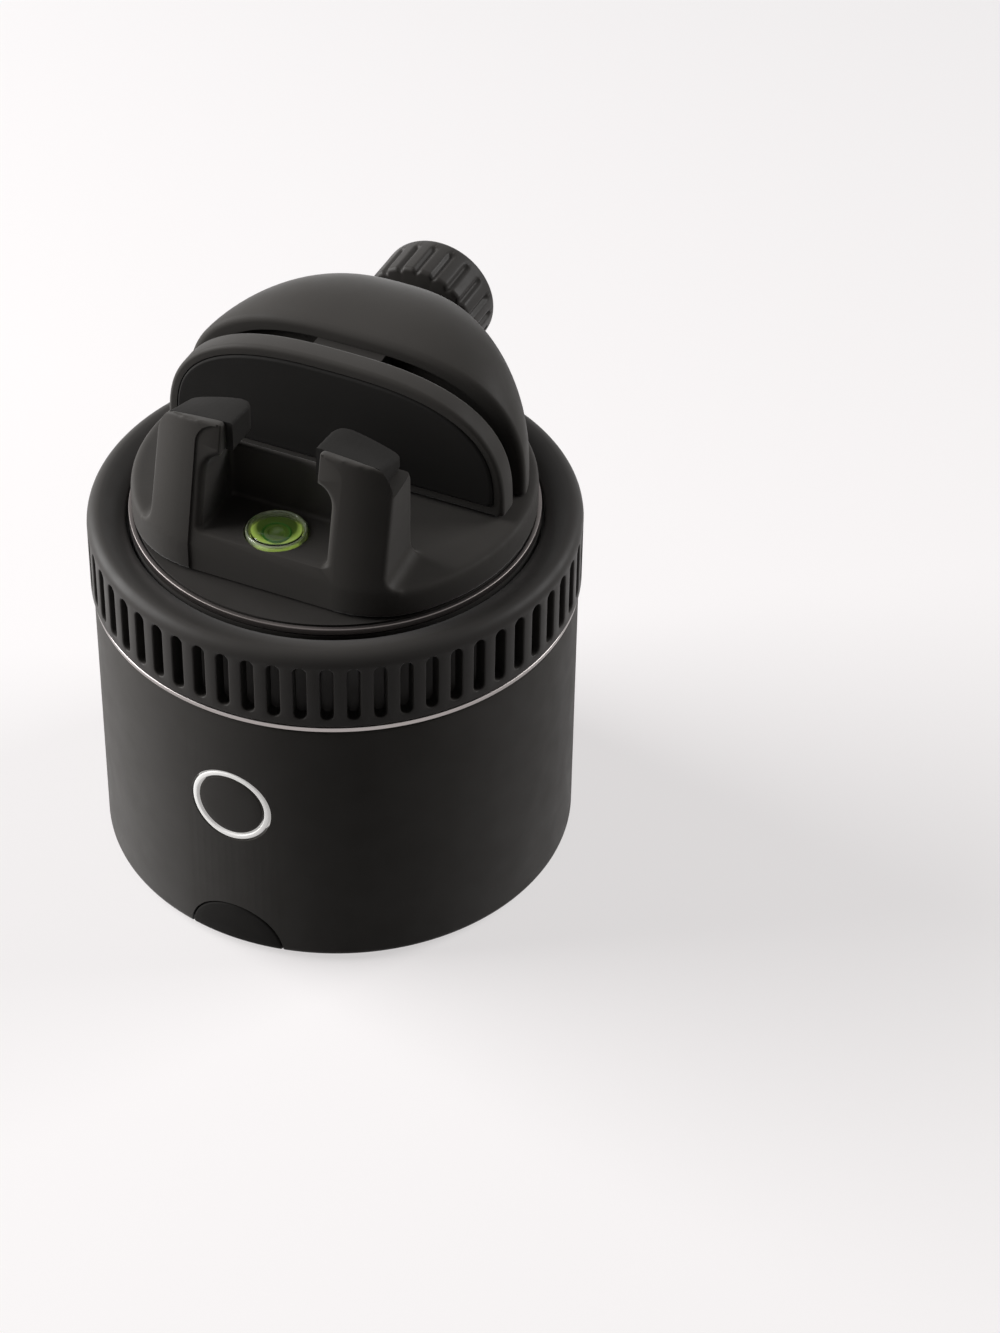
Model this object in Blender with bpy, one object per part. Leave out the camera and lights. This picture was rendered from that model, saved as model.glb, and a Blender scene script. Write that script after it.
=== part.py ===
"""Auto-tracking phone mount: a motorised round base, a turning head with two hooks and a dome, and a
screw-driven jaw that clamps a phone between its pad and the hooks. Metres, +Z up, the front at -Y, and
the origin at the middle of the underside."""

import math

import bmesh
import bpy
from mathutils import Matrix

MM = 0.001
GAP = 0.3 * MM  # clearance between pieces that touch or slide
ROUND_STEPS = 40  # facets round the large turned pieces

# Base
BASE_RADIUS = 35.0 * MM
BASE_TOP = 43.4 * MM
BASE_WALL = 2.0 * MM
BASE_EDGE = 1.2 * MM
DECK_THICKNESS = 2.4 * MM
FOOT_HEIGHT = 0.5 * MM
COVER_THICKNESS = 1.7 * MM
FOOT_RING_RADII = (22.0 * MM, 25.5 * MM)
INSERT_BORE = 3.2 * MM
INSERT_RADIUS = 5.0 * MM
INSERT_DEPTH = 9.0 * MM
COVER_SCREW_CIRCLE = 29.3 * MM
COVER_SCREW_RADIUS = 1.2 * MM
COVER_SCREW_HEAD = 2.0 * MM
COVER_SCREW_LENGTH = 7.2 * MM
POST_RADIUS = 2.6 * MM
POST_STEPS = 14  # a count that keeps the posts' corners off the deck's radial edges
TRIM_RADIUS = 35.2 * MM
TRIM_WIDTH = 2.0 * MM
TRIM_HEIGHT = 0.7 * MM

# Power button and its light ring
BUTTON_HEIGHT = 27.0 * MM
BUTTON_RADIUS = 4.8 * MM
BUTTON_TRAVEL = 0.4 * MM
BUTTON_COLLAR = 1.2 * MM
LIGHT_RING_WIDTH = 0.9 * MM
LIGHT_FLANGE = 1.4 * MM
LIGHT_FLANGE_SETBACK = 1.15 * MM
SWITCH_SIZE = (6.0 * MM, 1.5 * MM, 6.0 * MM)
BUTTON_BOARD_SETBACK = 8.4 * MM
BUTTON_BOARD_HALF = BUTTON_RADIUS + LIGHT_RING_WIDTH + LIGHT_FLANGE + 2.9 * MM
BUTTON_BOARD_SIZE = (2 * BUTTON_BOARD_HALF, 1.2 * MM, 14.0 * MM)

# Charging port and its rubber cover
FLAP_RADIUS = 7.2 * MM
FLAP_CENTRE_HEIGHT = 0.4 * MM
FLAP_BOTTOM = 0.9 * MM
FLAP_THICKNESS = 1.5 * MM
FLAP_HINGE_INSET = 1.2 * MM
FLAP_HINGE_HEIGHT = 1.3 * MM
PORT_BOSS_SIZE = (19.0 * MM, 8.5 * MM)
PORT_BOSS_DEPTH = 2.2 * MM
SOCKET_SIZE = (9.0 * MM, 7.3 * MM, 3.2 * MM)
SOCKET_HEIGHT = 4.1 * MM

# Screws: a head's height as a share of its radius
HEAD_SHARE = 0.4

# Electronics
BOARD_HEIGHT = 6.0 * MM
BOARD_THICKNESS = 1.4 * MM
BOARD_RADIUS = 31.0 * MM
BOARD_HOLE = 9.6 * MM
STANDOFF_CIRCLE = 23.0 * MM
BATTERY_SIZE = (34.0 * MM, 9.0 * MM, 28.0 * MM)
BATTERY_BACK_OFFSET = 16.2 * MM

# Drive: gear on the spindle, pinion on the motor
GEAR_MODULE = 0.8 * MM
PINION_TEETH = 13
GEAR_FACE = 4.0 * MM
GEAR_BACKLASH = 0.26 * MM
GEAR_HUB = 10.0 * MM
MOTOR_RADIUS = 7.8 * MM
MOTOR_LENGTH = 17.0 * MM
MOTOR_BOSS = 3.0 * MM
MOTOR_SHAFT = 1.0 * MM
MOTOR_SCREW_RADIUS = 1.0 * MM
MOTOR_SCREW_HEAD = 1.7 * MM
MOTOR_SCREW_LENGTH = 6.4 * MM
MOTOR_SCREW_OFFSET = 5.2 * MM
SPINDLE_RADIUS = 6.0 * MM
SPINDLE_BORE = 4.0 * MM
SPINDLE_FLANGE = 9.5 * MM
BEARING_RADIUS = 11.5 * MM
BEARING_WIDTH = 4.0 * MM
RACE_THICKNESS = 1.2 * MM
BALL_RADIUS = (BEARING_RADIUS - 2 * RACE_THICKNESS - SPINDLE_RADIUS - 1.1 * MM) / 2
BALL_COUNT = 8
LEAST_MOTOR_DISTANCE = BEARING_RADIUS + MOTOR_RADIUS + 2.4 * MM  # clear of the bearing's boss
GEAR_TEETH = math.ceil(2 * LEAST_MOTOR_DISTANCE / GEAR_MODULE) - PINION_TEETH

# Ribbed turret ring
TURRET_RADIUS = 35.4 * MM
TURRET_WALL = 2.8 * MM
TURRET_TOP = BASE_TOP + 13.6 * MM
TURRET_SHOULDER = 1.9 * MM
TURRET_INNER = 29.9 * MM
TURRET_DIP = 1.1 * MM
SLOT_COUNT = 60
SLOT_WIDTH = 1.85 * MM
SLOT_DEPTH = 1.2 * MM
SLOT_BOTTOM = BASE_TOP + 2.6 * MM
SLOT_TOP = BASE_TOP + 11.6 * MM
WEB_BOTTOM = BASE_TOP + 8.0 * MM
WEB_TOP = BASE_TOP + 10.2 * MM

# Head
HEAD_RADIUS = 28.9 * MM
HEAD_FLAT = 23.6 * MM
HEAD_FLAT_CORNER = 14.6 * MM
HEAD_RIM_ROUND = 1.0 * MM
PLATE_TOP = BASE_TOP + 13.9 * MM
RIM_RADIUS = 29.4 * MM
RIM_HEIGHT = 0.9 * MM
RIM_WIDTH = 0.6 * MM
HEAD_SCREW_CIRCLE = 20.0 * MM
HEAD_SCREW_RADIUS = 1.1 * MM
HEAD_SCREW_HEAD = 1.8 * MM
TRAY_FLOOR = BASE_TOP + 18.6 * MM
LEDGE_TOP = TRAY_FLOOR + 2.2 * MM
POCKET_HALF = 9.6 * MM
POCKET_DEPTH = 10.5 * MM
LIP_WALL = 1.2 * MM
LIP_WALL_TOP = TRAY_FLOOR + 11.1 * MM
SEAM_HALF = 11.1 * MM
SEAM_STEP = 0.25 * MM

# Hooks: a cane shape seen from the front
HOOK_TIP = 7.3 * MM
HOOK_TOP = TRAY_FLOOR + 18.6 * MM
HOOK_CROWN_FRONT = -HEAD_FLAT + 4.1 * MM  # where the crown starts to fall towards the back
HOOK_CROWN_FALL = 0.8 * MM
HOOK_CROWN_DROPS = (0.5 * MM, 2.6 * MM)  # from the tip to the shoulder, in front and at the back
HOOK_CROWN_REACH = 10.0 * MM
HOOK_UNDERSIDE = TRAY_FLOOR + 13.9 * MM
HOOK_FILLET = 3.0 * MM
HOOK_SHOULDERS = (2.8 * MM, 4.0 * MM)
HOOK_OUTER_FRONT = 18.2 * MM
HOOK_OUTER_BACK = 17.6 * MM
HOOK_FOOT_FILLET = 2.0 * MM
HOOK_SETBACK = 0.05 * MM  # how far the hooks' feet stand inside the tray's side
HOOK_LEAN = 0.22
HOOK_TAPER = 0.17
FINGER_BACK = -HEAD_FLAT + 5.4 * MM
PAD_PROUD = 0.6 * MM
PAD_END_STEP = 1.6 * MM
PAD_TIP_PROUD = 1.0 * MM

# Bubble level
LEVEL_RADIUS = 4.3 * MM
LEVEL_SETBACK = HEAD_FLAT - 5.4 * MM
LEVEL_WALL = 0.4 * MM
LEVEL_DEPTH = 3.0 * MM
LEVEL_PROUD = 0.5 * MM

# Dome
DOME_LIP = 5.85 * MM
DOME_REAR = 28.8 * MM
DOME_HALF = 26.7 * MM
DOME_HEIGHT = 19.9 * MM
DOME_SWELL = 1.9 * MM
DOME_SECTION_POWER = 2.85
DOME_PLAN_POWER = 1.6
DOME_PROFILE_POWER = 3.1
DOME_WALL = 2.0 * MM
DOME_LIP_ROUND = 0.9 * MM
MOUTH_DEPTH = 3.65 * MM
BULKHEAD = 4.0 * MM
CAVITY_BACK = 22.5 * MM
DOME_END = 26.6 * MM
DOME_SCREW_PLACES = ((-17.0 * MM, 11.5 * MM), (17.0 * MM, 11.5 * MM), (0, 24.6 * MM))
DOME_SCREW_RADIUS = 1.1 * MM
DOME_SCREW_HEAD = 2.0 * MM
DOME_SCREW_TOP = TRAY_FLOOR + 4.2 * MM

# Jaw
JAW_FRONT = -0.5 * MM
JAW_THICKNESS = 3.7 * MM
JAW_HALF = 26.3 * MM
JAW_TOP = TRAY_FLOOR + 19.2 * MM
JAW_POWER = 2.7
JAW_CLEARANCE = 0.4 * MM
JAW_EDGE = 0.7 * MM
JAW_RIM = 1.5 * MM
PAD_RECESS = 1.3 * MM
PAD_STANDS_OUT = 0.3 * MM
TONGUE_HALF = 5.25 * MM
TONGUE_TOP = TRAY_FLOOR + 17.9 * MM
TONGUE_BOTTOM = TRAY_FLOOR + 3.2 * MM
TONGUE_LENGTH = 15.5 * MM
TONGUE_STEP = 2.9 * MM
PLATE_SCREW_HEIGHTS = (TRAY_FLOOR + 5.0 * MM, TRAY_FLOOR + 15.0 * MM)
PLATE_SCREW_RADIUS = 0.9 * MM
PLATE_SCREW_HEAD = 1.5 * MM
PLATE_SCREW_LENGTH = 7.6 * MM

# Clamp screw and knob
SCREW_HEIGHT = TRAY_FLOOR + 9.1 * MM
SCREW_RADIUS = 2.0 * MM
SCREW_TIP = 4.0 * MM
NUT_FLATS = 7.0 * MM
NUT_LENGTH = 4.0 * MM
KNOB_START = 27.0 * MM
KNOB_LENGTH = 8.3 * MM
KNOB_RADIUS = 8.8 * MM
KNOB_RIB_DEPTH = 0.5 * MM
KNOB_RIBS = 20
KNOB_EDGE = 0.6 * MM
KNOB_RIM = 1.0 * MM  # the smooth rim behind the ribs
BUSH_RADIUS = 3.6 * MM
BUSH_LENGTH = 3.6 * MM
CLIP_RADIUS = 4.2 * MM
CLIP_THICKNESS = 0.8 * MM

LEFT_TO_RIGHT = (-1, 1)
THIRDS = (90, 210, 330)  # where three screws stand, in degrees from +X


def material(name, colour, roughness, metallic=0.0):
    made = bpy.data.materials.new(name)
    made.use_nodes = True
    shader = made.node_tree.nodes["Principled BSDF"]
    shader.inputs["Base Color"].default_value = (*colour, 1)
    shader.inputs["Roughness"].default_value = roughness
    shader.inputs["Metallic"].default_value = metallic
    return made


def axis_empty(name, location):
    """The joint axis that a moving group hangs on."""
    empty = bpy.data.objects.new(name, None)
    empty.location = location
    empty.empty_display_size = 5 * MM
    bpy.context.scene.collection.objects.link(empty)
    return empty


def add(name, bm, finish, axis=None, location=(0, 0, 0), rotation=(0, 0, 0)):
    """A named piece from a bmesh, under the empty of its joint."""
    bmesh.ops.recalc_face_normals(bm, faces=bm.faces)
    mesh = bpy.data.meshes.new(name)
    bm.to_mesh(mesh)
    bm.free()
    mesh.shade_smooth()
    mesh.set_sharp_from_angle(angle=math.radians(35))
    mesh.materials.append(finish)
    piece = bpy.data.objects.new(name, mesh)
    bpy.context.scene.collection.objects.link(piece)
    piece.location = location
    piece.rotation_euler = rotation
    if axis:
        piece.parent = axis
        piece.matrix_parent_inverse = Matrix.Translation(-axis.location)
    return piece


def shape(name, bm, **placing):
    """A helper solid for a Boolean, kept out of renders."""
    helper = add(name, bm, FINISHES["helper"], **placing)
    helper.hide_render = True
    helper.display_type = "WIRE"
    return helper


def boolean(piece, helper, operation="DIFFERENCE"):
    modifier = piece.modifiers.new(helper.name, "BOOLEAN")
    modifier.object = helper
    modifier.operation = operation
    modifier.solver = "EXACT"


def arc(centre, radius, start, end, count):
    """Points on a round stretch, from one angle to another in degrees."""
    angles = [math.radians(start + (end - start) * step / count) for step in range(count + 1)]
    return [
        (centre[0] + radius * math.cos(angle), centre[1] + radius * math.sin(angle)) for angle in angles
    ]


def turned(profile, steps):
    """A solid turned about Z from (radius, height) points. One that starts on the axis ends there too."""
    bm = bmesh.new()
    verts = [bm.verts.new((radius, 0, height)) for radius, height in profile]
    edges = [bm.edges.new(pair) for pair in zip(verts, verts[1:])]
    if profile[0][0] > 0:
        edges.append(bm.edges.new((verts[-1], verts[0])))
    bmesh.ops.spin(
        bm, geom=verts + edges, axis=(0, 0, 1), cent=(0, 0, 0), angle=math.tau, steps=steps, use_merge=True
    )
    bmesh.ops.remove_doubles(bm, verts=bm.verts, dist=1e-7)
    return bm


def tube(inner, outer, bottom, top, steps):
    return turned([(inner, bottom), (outer, bottom), (outer, top), (inner, top)], steps)


def disc(radius, bottom, top, steps):
    return turned([(0, bottom), (radius, bottom), (radius, top), (0, top)], steps)


def loft(loops):
    """A closed solid through loops of equally many points, capped at both ends."""
    bm = bmesh.new()
    rings = [[bm.verts.new(point) for point in loop] for loop in loops]
    for first, second in zip(rings, rings[1:]):
        for index in range(len(first)):
            after = (index + 1) % len(first)
            bm.faces.new((first[index], first[after], second[after], second[index]))
    bm.faces.new(rings[0])
    bm.faces.new(rings[-1])
    bmesh.ops.recalc_face_normals(bm, faces=bm.faces)
    bmesh.ops.triangulate(bm, faces=bm.faces)
    return bm


def prism(outline, bottom, top):
    return loft([[(x, y, height) for x, y in outline] for height in (bottom, top)])


def across_x(outline, left, right):
    """A solid from a (y, z) outline."""
    return loft([[(x, y, z) for y, z in outline] for x in (left, right)])


def along_y(outline, front, back):
    """A solid from an (x, z) outline."""
    return loft([[(x, y, z) for x, z in outline] for y in (front, back)])


def block(low, high):
    outline = [(low[0], low[1]), (high[0], low[1]), (high[0], high[1]), (low[0], high[1])]
    return prism(outline, low[2], high[2])


def join(bm, other):
    """Adds another bmesh's geometry as a separate body, which only a helper may hold."""
    spare = bpy.data.meshes.new("spare")
    other.to_mesh(spare)
    other.free()
    bm.from_mesh(spare)
    bpy.data.meshes.remove(spare)


def about_y(bm, front, height):
    """Lays a piece that was turned about Z along +Y."""
    bmesh.ops.rotate(bm, verts=bm.verts, matrix=Matrix.Rotation(-math.pi / 2, 3, "X"))
    bmesh.ops.translate(bm, verts=bm.verts, vec=(0, front, height))
    return bm


def round_about_y(radius, front, back, height, steps=20):
    """A cylinder along Y."""
    return about_y(disc(radius, 0, back - front, steps), front, height)


def drilling(radius, bottom, top, counter_radius=None, counter_top=None, steps=10):
    """A straight hole, or one whose lower part is wider for a screw's head."""
    if counter_radius is None:
        return disc(radius, bottom, top, steps)
    profile = [
        (0, bottom), (counter_radius, bottom), (counter_radius, counter_top),
        (radius, counter_top), (radius, top), (0, top),
    ]
    return turned(profile, steps)


def moved(bm, x, y, z=0.0):
    bmesh.ops.translate(bm, verts=bm.verts, vec=(x, y, z))
    return bm


def screw(name, head_radius, shank_radius, length, **placing):
    """A machine screw that starts with its head at its origin, with its shank pointing up."""
    head_height = head_radius * HEAD_SHARE
    profile = [
        (0, 0), (head_radius * 0.8, 0), (head_radius, head_height * 0.5), (head_radius, head_height),
        (shank_radius, head_height), (shank_radius, length), (0, length),
    ]
    add(name, turned(profile, 8), FINISHES["steel"], **placing)


def superellipse(t, half, height, power):
    """Point t, from 0 to 1, of an arch that runs from +X over the top to -X."""
    angle = math.pi * t
    cosine = math.cos(angle)
    x = half * math.copysign(abs(cosine) ** (2 / power), cosine)
    return x, height * abs(math.sin(angle)) ** (2 / power)


def arch(half, height, floor, power, count):
    """An arched outline whose foot is the line at the floor height."""
    points = [superellipse(step / count, half, height, power) for step in range(count + 1)]
    return [(x, floor + z) for x, z in points]


def on_circle(radius, degrees):
    angle = math.radians(degrees)
    return radius * math.cos(angle), radius * math.sin(angle)


for thing in list(bpy.data.objects):
    bpy.data.objects.remove(thing)

FINISHES = {
    "helper": material("helper", (1, 0, 1), 0.5),
    "soft_black": material("soft_black", (0.028, 0.026, 0.024), 0.55),
    "satin_black": material("satin_black", (0.022, 0.021, 0.020), 0.45),
    "rubber": material("rubber", (0.018, 0.017, 0.016), 0.75),
    "silver": material("silver", (0.75, 0.74, 0.73), 0.25, 1.0),
    "light_white": material("light_white", (0.85, 0.84, 0.82), 0.4),
    "brass": material("brass", (0.72, 0.53, 0.25), 0.35, 1.0),
    "steel": material("steel", (0.6, 0.6, 0.6), 0.35, 1.0),
    "board_green": material("board_green", (0.03, 0.14, 0.07), 0.5),
    "battery_wrap": material("battery_wrap", (0.12, 0.16, 0.22), 0.4),
    "gear_white": material("gear_white", (0.75, 0.74, 0.70), 0.5),
    "level_green": material("level_green", (0.45, 0.75, 0.05), 0.1),
    "clear": material("clear", (0.9, 0.95, 0.85), 0.05),
}

# Joint axes
motor_distance = GEAR_MODULE * (GEAR_TEETH + PINION_TEETH) / 2
bearing_top = BASE_TOP - 0.5 * MM
bearing_bottom = bearing_top - BEARING_WIDTH
level_place = (0, -LEVEL_SETBACK)
flap_hinge_place = (0, -BASE_RADIUS + FLAP_HINGE_INSET, FLAP_HINGE_HEIGHT)
head_axis = axis_empty("head_axis", (0, 0, BASE_TOP))
cage_axis = axis_empty("cage_axis", (0, 0, (bearing_top + bearing_bottom) / 2))
pinion_axis = axis_empty("pinion_axis", (-motor_distance, 0, BASE_TOP))
button_axis = axis_empty("button_axis", (0, -BASE_RADIUS, BUTTON_HEIGHT))
flap_axis = axis_empty("flap_axis", flap_hinge_place)
jaw_axis = axis_empty("jaw_axis", (0, JAW_FRONT, SCREW_HEIGHT))
knob_axis = axis_empty("knob_axis", (0, KNOB_START, SCREW_HEIGHT))
for child in (jaw_axis, knob_axis):
    child.parent = head_axis
    child.matrix_parent_inverse = Matrix.Translation(-head_axis.location)

# Base housing: a straight cup, open below, whose deck carries the bearing and the motor
deck_under = BASE_TOP - DECK_THICKNESS
inner_radius = BASE_RADIUS - BASE_WALL
seat_radius = BEARING_RADIUS + GAP
boss_radius = seat_radius + 1.8 * MM
boss_bottom = bearing_bottom - GAP - 1.2 * MM
retaining_radius = BEARING_RADIUS - RACE_THICKNESS + 0.1 * MM
housing_profile = (
    [(inner_radius, FOOT_HEIGHT)]
    + arc((BASE_RADIUS - BASE_EDGE, FOOT_HEIGHT + BASE_EDGE), BASE_EDGE, -90, 0, 2)
    + [
        (BASE_RADIUS, BASE_TOP - 0.4 * MM),
        (BASE_RADIUS - 0.4 * MM, BASE_TOP),
        (seat_radius, BASE_TOP),
        (seat_radius, bearing_bottom - GAP),
        (retaining_radius, bearing_bottom - GAP),
        (retaining_radius, boss_bottom),
        (boss_radius, boss_bottom),
        (boss_radius, deck_under),
        (inner_radius, deck_under),
    ]
)
base_housing = add("base_housing", turned(housing_profile, ROUND_STEPS), FINISHES["soft_black"])

cover_top = FOOT_HEIGHT + COVER_THICKNESS
post_bottom = cover_top + GAP
posts = bmesh.new()
for angle in THIRDS:
    x, y = on_circle(COVER_SCREW_CIRCLE, angle)
    join(posts, moved(disc(POST_RADIUS, post_bottom, deck_under + 1 * MM, POST_STEPS), x, y))
boolean(base_housing, shape("screw_posts", posts), "UNION")

board_front = -BASE_RADIUS + BUTTON_BOARD_SETBACK
rib_inner = board_front - GAP
ribs = bmesh.new()
for side in LEFT_TO_RIGHT:
    rib_centre = side * (BUTTON_BOARD_SIZE[0] / 2 - 0.8 * MM)
    low = (rib_centre - 1 * MM, -inner_radius + 0.4 * MM, BUTTON_HEIGHT - BUTTON_BOARD_SIZE[2] / 2)
    high = (rib_centre + 1 * MM, rib_inner, BUTTON_HEIGHT + BUTTON_BOARD_SIZE[2] / 2)
    join(ribs, block(low, high))
boolean(base_housing, shape("board_ribs", ribs), "UNION")

boss_back = -inner_radius + PORT_BOSS_DEPTH
boss_block = block(
    (-PORT_BOSS_SIZE[0] / 2, -BASE_RADIUS, FOOT_HEIGHT + GAP),
    (PORT_BOSS_SIZE[0] / 2, boss_back, FOOT_HEIGHT + PORT_BOSS_SIZE[1]),
)
port_boss = shape("port_boss", boss_block)
boss_limit = disc(inner_radius + 0.5 * MM, 0, 20 * MM, ROUND_STEPS)
boolean(port_boss, shape("port_boss_limit", boss_limit), "INTERSECT")
boolean(base_housing, port_boss, "UNION")

light_outer = BUTTON_RADIUS + GAP + LIGHT_RING_WIDTH
outside = -BASE_RADIUS - 2 * MM
button_hole = round_about_y(light_outer + GAP, outside, -inner_radius + 4 * MM, BUTTON_HEIGHT, 28)
boolean(base_housing, shape("button_hole", button_hole))

flap_inner = BASE_RADIUS - FLAP_THICKNESS
recess = round_about_y(FLAP_RADIUS + GAP, outside, -flap_inner + 3 * MM, FLAP_CENTRE_HEIGHT, 28)
flap_recess = shape("flap_recess", recess)
recess_core = disc(flap_inner - GAP, -10 * MM, 20 * MM, ROUND_STEPS)
boolean(flap_recess, shape("recess_core", recess_core))
boolean(base_housing, flap_recess)
socket_slot = block(
    (-SOCKET_SIZE[0] / 2 - GAP, outside, SOCKET_HEIGHT - SOCKET_SIZE[2] / 2 - GAP),
    (SOCKET_SIZE[0] / 2 + GAP, boss_back + 2 * MM, SOCKET_HEIGHT + SOCKET_SIZE[2] / 2 + GAP),
)
boolean(base_housing, shape("socket_slot", socket_slot))

above_deck = BASE_TOP + 1 * MM
below_deck = deck_under - 1 * MM
holes = moved(drilling(MOTOR_BOSS + GAP, below_deck, above_deck, steps=16), -motor_distance, 0)
for side in LEFT_TO_RIGHT:
    hole = drilling(MOTOR_SCREW_RADIUS + GAP, below_deck, above_deck)
    join(holes, moved(hole, -motor_distance, side * MOTOR_SCREW_OFFSET))
for angle in THIRDS:
    hole = drilling(COVER_SCREW_RADIUS + GAP, 0, COVER_SCREW_LENGTH + 1.5 * MM)
    join(holes, moved(hole, *on_circle(COVER_SCREW_CIRCLE, angle)))
boolean(base_housing, shape("housing_holes", holes))

# Bottom cover: a disc with the insert's boss, three board stand-offs and a groove for the foot ring
cover_radius = inner_radius - GAP - 0.1 * MM
insert_hole = INSERT_RADIUS + GAP
insert_boss = insert_hole + 2.6 * MM
groove = (FOOT_RING_RADII[0] - GAP, FOOT_RING_RADII[1] + GAP)
groove_top = FOOT_HEIGHT + 0.7 * MM
boss_top = FOOT_HEIGHT + INSERT_DEPTH
cover_profile = [
    (insert_hole, FOOT_HEIGHT), (groove[0], FOOT_HEIGHT), (groove[0], groove_top),
    (groove[1], groove_top), (groove[1], FOOT_HEIGHT), (cover_radius, FOOT_HEIGHT),
    (cover_radius, cover_top), (insert_boss, cover_top), (insert_boss, boss_top), (insert_hole, boss_top),
]
bottom_cover = add("bottom_cover", turned(cover_profile, 24), FINISHES["satin_black"])
standoffs = bmesh.new()
for angle in THIRDS:
    standoff = disc(2.0 * MM, cover_top - 0.5 * MM, BOARD_HEIGHT - GAP, 12)
    join(standoffs, moved(standoff, *on_circle(STANDOFF_CIRCLE, angle)))
boolean(bottom_cover, shape("board_standoffs", standoffs), "UNION")
cover_screw_start = FOOT_HEIGHT + 0.05 * MM
counter_top = cover_screw_start + COVER_SCREW_HEAD * HEAD_SHARE + GAP
cover_holes = bmesh.new()
for angle in THIRDS:
    hole = drilling(
        COVER_SCREW_RADIUS + GAP, -1 * MM, cover_top + 1 * MM, COVER_SCREW_HEAD + GAP, counter_top
    )
    join(cover_holes, moved(hole, *on_circle(COVER_SCREW_CIRCLE, angle)))
port_notch = block(
    (-PORT_BOSS_SIZE[0] / 2 - GAP, -BASE_RADIUS, FOOT_HEIGHT - 1 * MM),
    (PORT_BOSS_SIZE[0] / 2 + GAP, boss_back + GAP, cover_top + 1 * MM),
)
join(cover_holes, port_notch)
boolean(bottom_cover, shape("cover_holes", cover_holes))
for number, angle in enumerate(THIRDS, 1):
    place = (*on_circle(COVER_SCREW_CIRCLE, angle), cover_screw_start)
    screw(f"cover_screw_{number}", COVER_SCREW_HEAD, COVER_SCREW_RADIUS, COVER_SCREW_LENGTH, location=place)

add("foot_ring", tube(*FOOT_RING_RADII, 0, groove_top - GAP, 24), FINISHES["rubber"])
insert_bottom = FOOT_HEIGHT + 0.2 * MM
insert_top = boss_top + 1.3 * MM
insert_flange = INSERT_RADIUS + 1.4 * MM
insert_profile = [
    (INSERT_BORE, insert_bottom), (INSERT_RADIUS, insert_bottom), (INSERT_RADIUS, boss_top + GAP),
    (insert_flange, boss_top + GAP), (insert_flange, insert_top), (INSERT_BORE, insert_top),
]
add("tripod_insert", turned(insert_profile, 16), FINISHES["brass"])

# Silver ring between the base and the turret
trim_bottom = BASE_TOP + GAP
trim_top = trim_bottom + TRIM_HEIGHT
trim_chamfer = 0.2 * MM
trim_inner = TRIM_RADIUS - TRIM_WIDTH
trim_profile = [
    (trim_inner, trim_bottom), (TRIM_RADIUS, trim_bottom), (TRIM_RADIUS, trim_top - trim_chamfer),
    (TRIM_RADIUS - trim_chamfer, trim_top), (trim_inner, trim_top),
]
add("trim_ring", turned(trim_profile, ROUND_STEPS), FINISHES["silver"])

# Light ring: a clear-white ring that follows the base's curve, with a flange behind the wall
flange_front = -inner_radius + LIGHT_FLANGE_SETBACK
flange_back = flange_front + 1.0 * MM
ring_inner = BUTTON_RADIUS + GAP
proud = -BASE_RADIUS - 1 * MM
ring_profile = [
    (ring_inner, flange_back), (ring_inner, proud), (light_outer, proud), (light_outer, flange_front),
    (light_outer + LIGHT_FLANGE, flange_front), (light_outer + LIGHT_FLANGE, flange_back),
]
ring_solid = about_y(turned(ring_profile, 24), 0, BUTTON_HEIGHT)
light_ring = add("light_ring", ring_solid, FINISHES["light_white"])
boolean(light_ring, shape("base_outside", disc(BASE_RADIUS, 0, BASE_TOP, ROUND_STEPS)), "INTERSECT")

# Power button: its face follows the base, and a collar behind the light ring keeps it in
collar_front = flange_back + GAP
button_back = collar_front + BUTTON_COLLAR
collar_radius = BUTTON_RADIUS + 1.0 * MM
button_profile = [
    (0, proud), (BUTTON_RADIUS, proud), (BUTTON_RADIUS, collar_front), (collar_radius, collar_front),
    (collar_radius, button_back), (0, button_back),
]
button_solid = about_y(turned(button_profile, 24), 0, BUTTON_HEIGHT)
power_button = add("power_button", button_solid, FINISHES["soft_black"], button_axis)
button_face = disc(BASE_RADIUS - 0.1 * MM, 0, BASE_TOP, ROUND_STEPS)
boolean(power_button, shape("button_face", button_face), "INTERSECT")

switch_back = board_front - GAP
switch_front = switch_back - SWITCH_SIZE[1]
switch = block(
    (-SWITCH_SIZE[0] / 2, switch_front, BUTTON_HEIGHT - SWITCH_SIZE[2] / 2),
    (SWITCH_SIZE[0] / 2, switch_back, BUTTON_HEIGHT + SWITCH_SIZE[2] / 2),
)
button_switch = add("button_switch", switch, FINISHES["steel"])
plunger_front = button_back + BUTTON_TRAVEL + 0.1 * MM
plunger = round_about_y(1.6 * MM, plunger_front, switch_front + 0.5 * MM, BUTTON_HEIGHT, 12)
boolean(button_switch, shape("switch_plunger", plunger), "UNION")
board_back = board_front + BUTTON_BOARD_SIZE[1]
button_board = block(
    (-BUTTON_BOARD_SIZE[0] / 2, board_front, BUTTON_HEIGHT - BUTTON_BOARD_SIZE[2] / 2),
    (BUTTON_BOARD_SIZE[0] / 2, board_back, BUTTON_HEIGHT + BUTTON_BOARD_SIZE[2] / 2),
)
add("button_board", button_board, FINISHES["board_green"])

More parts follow.
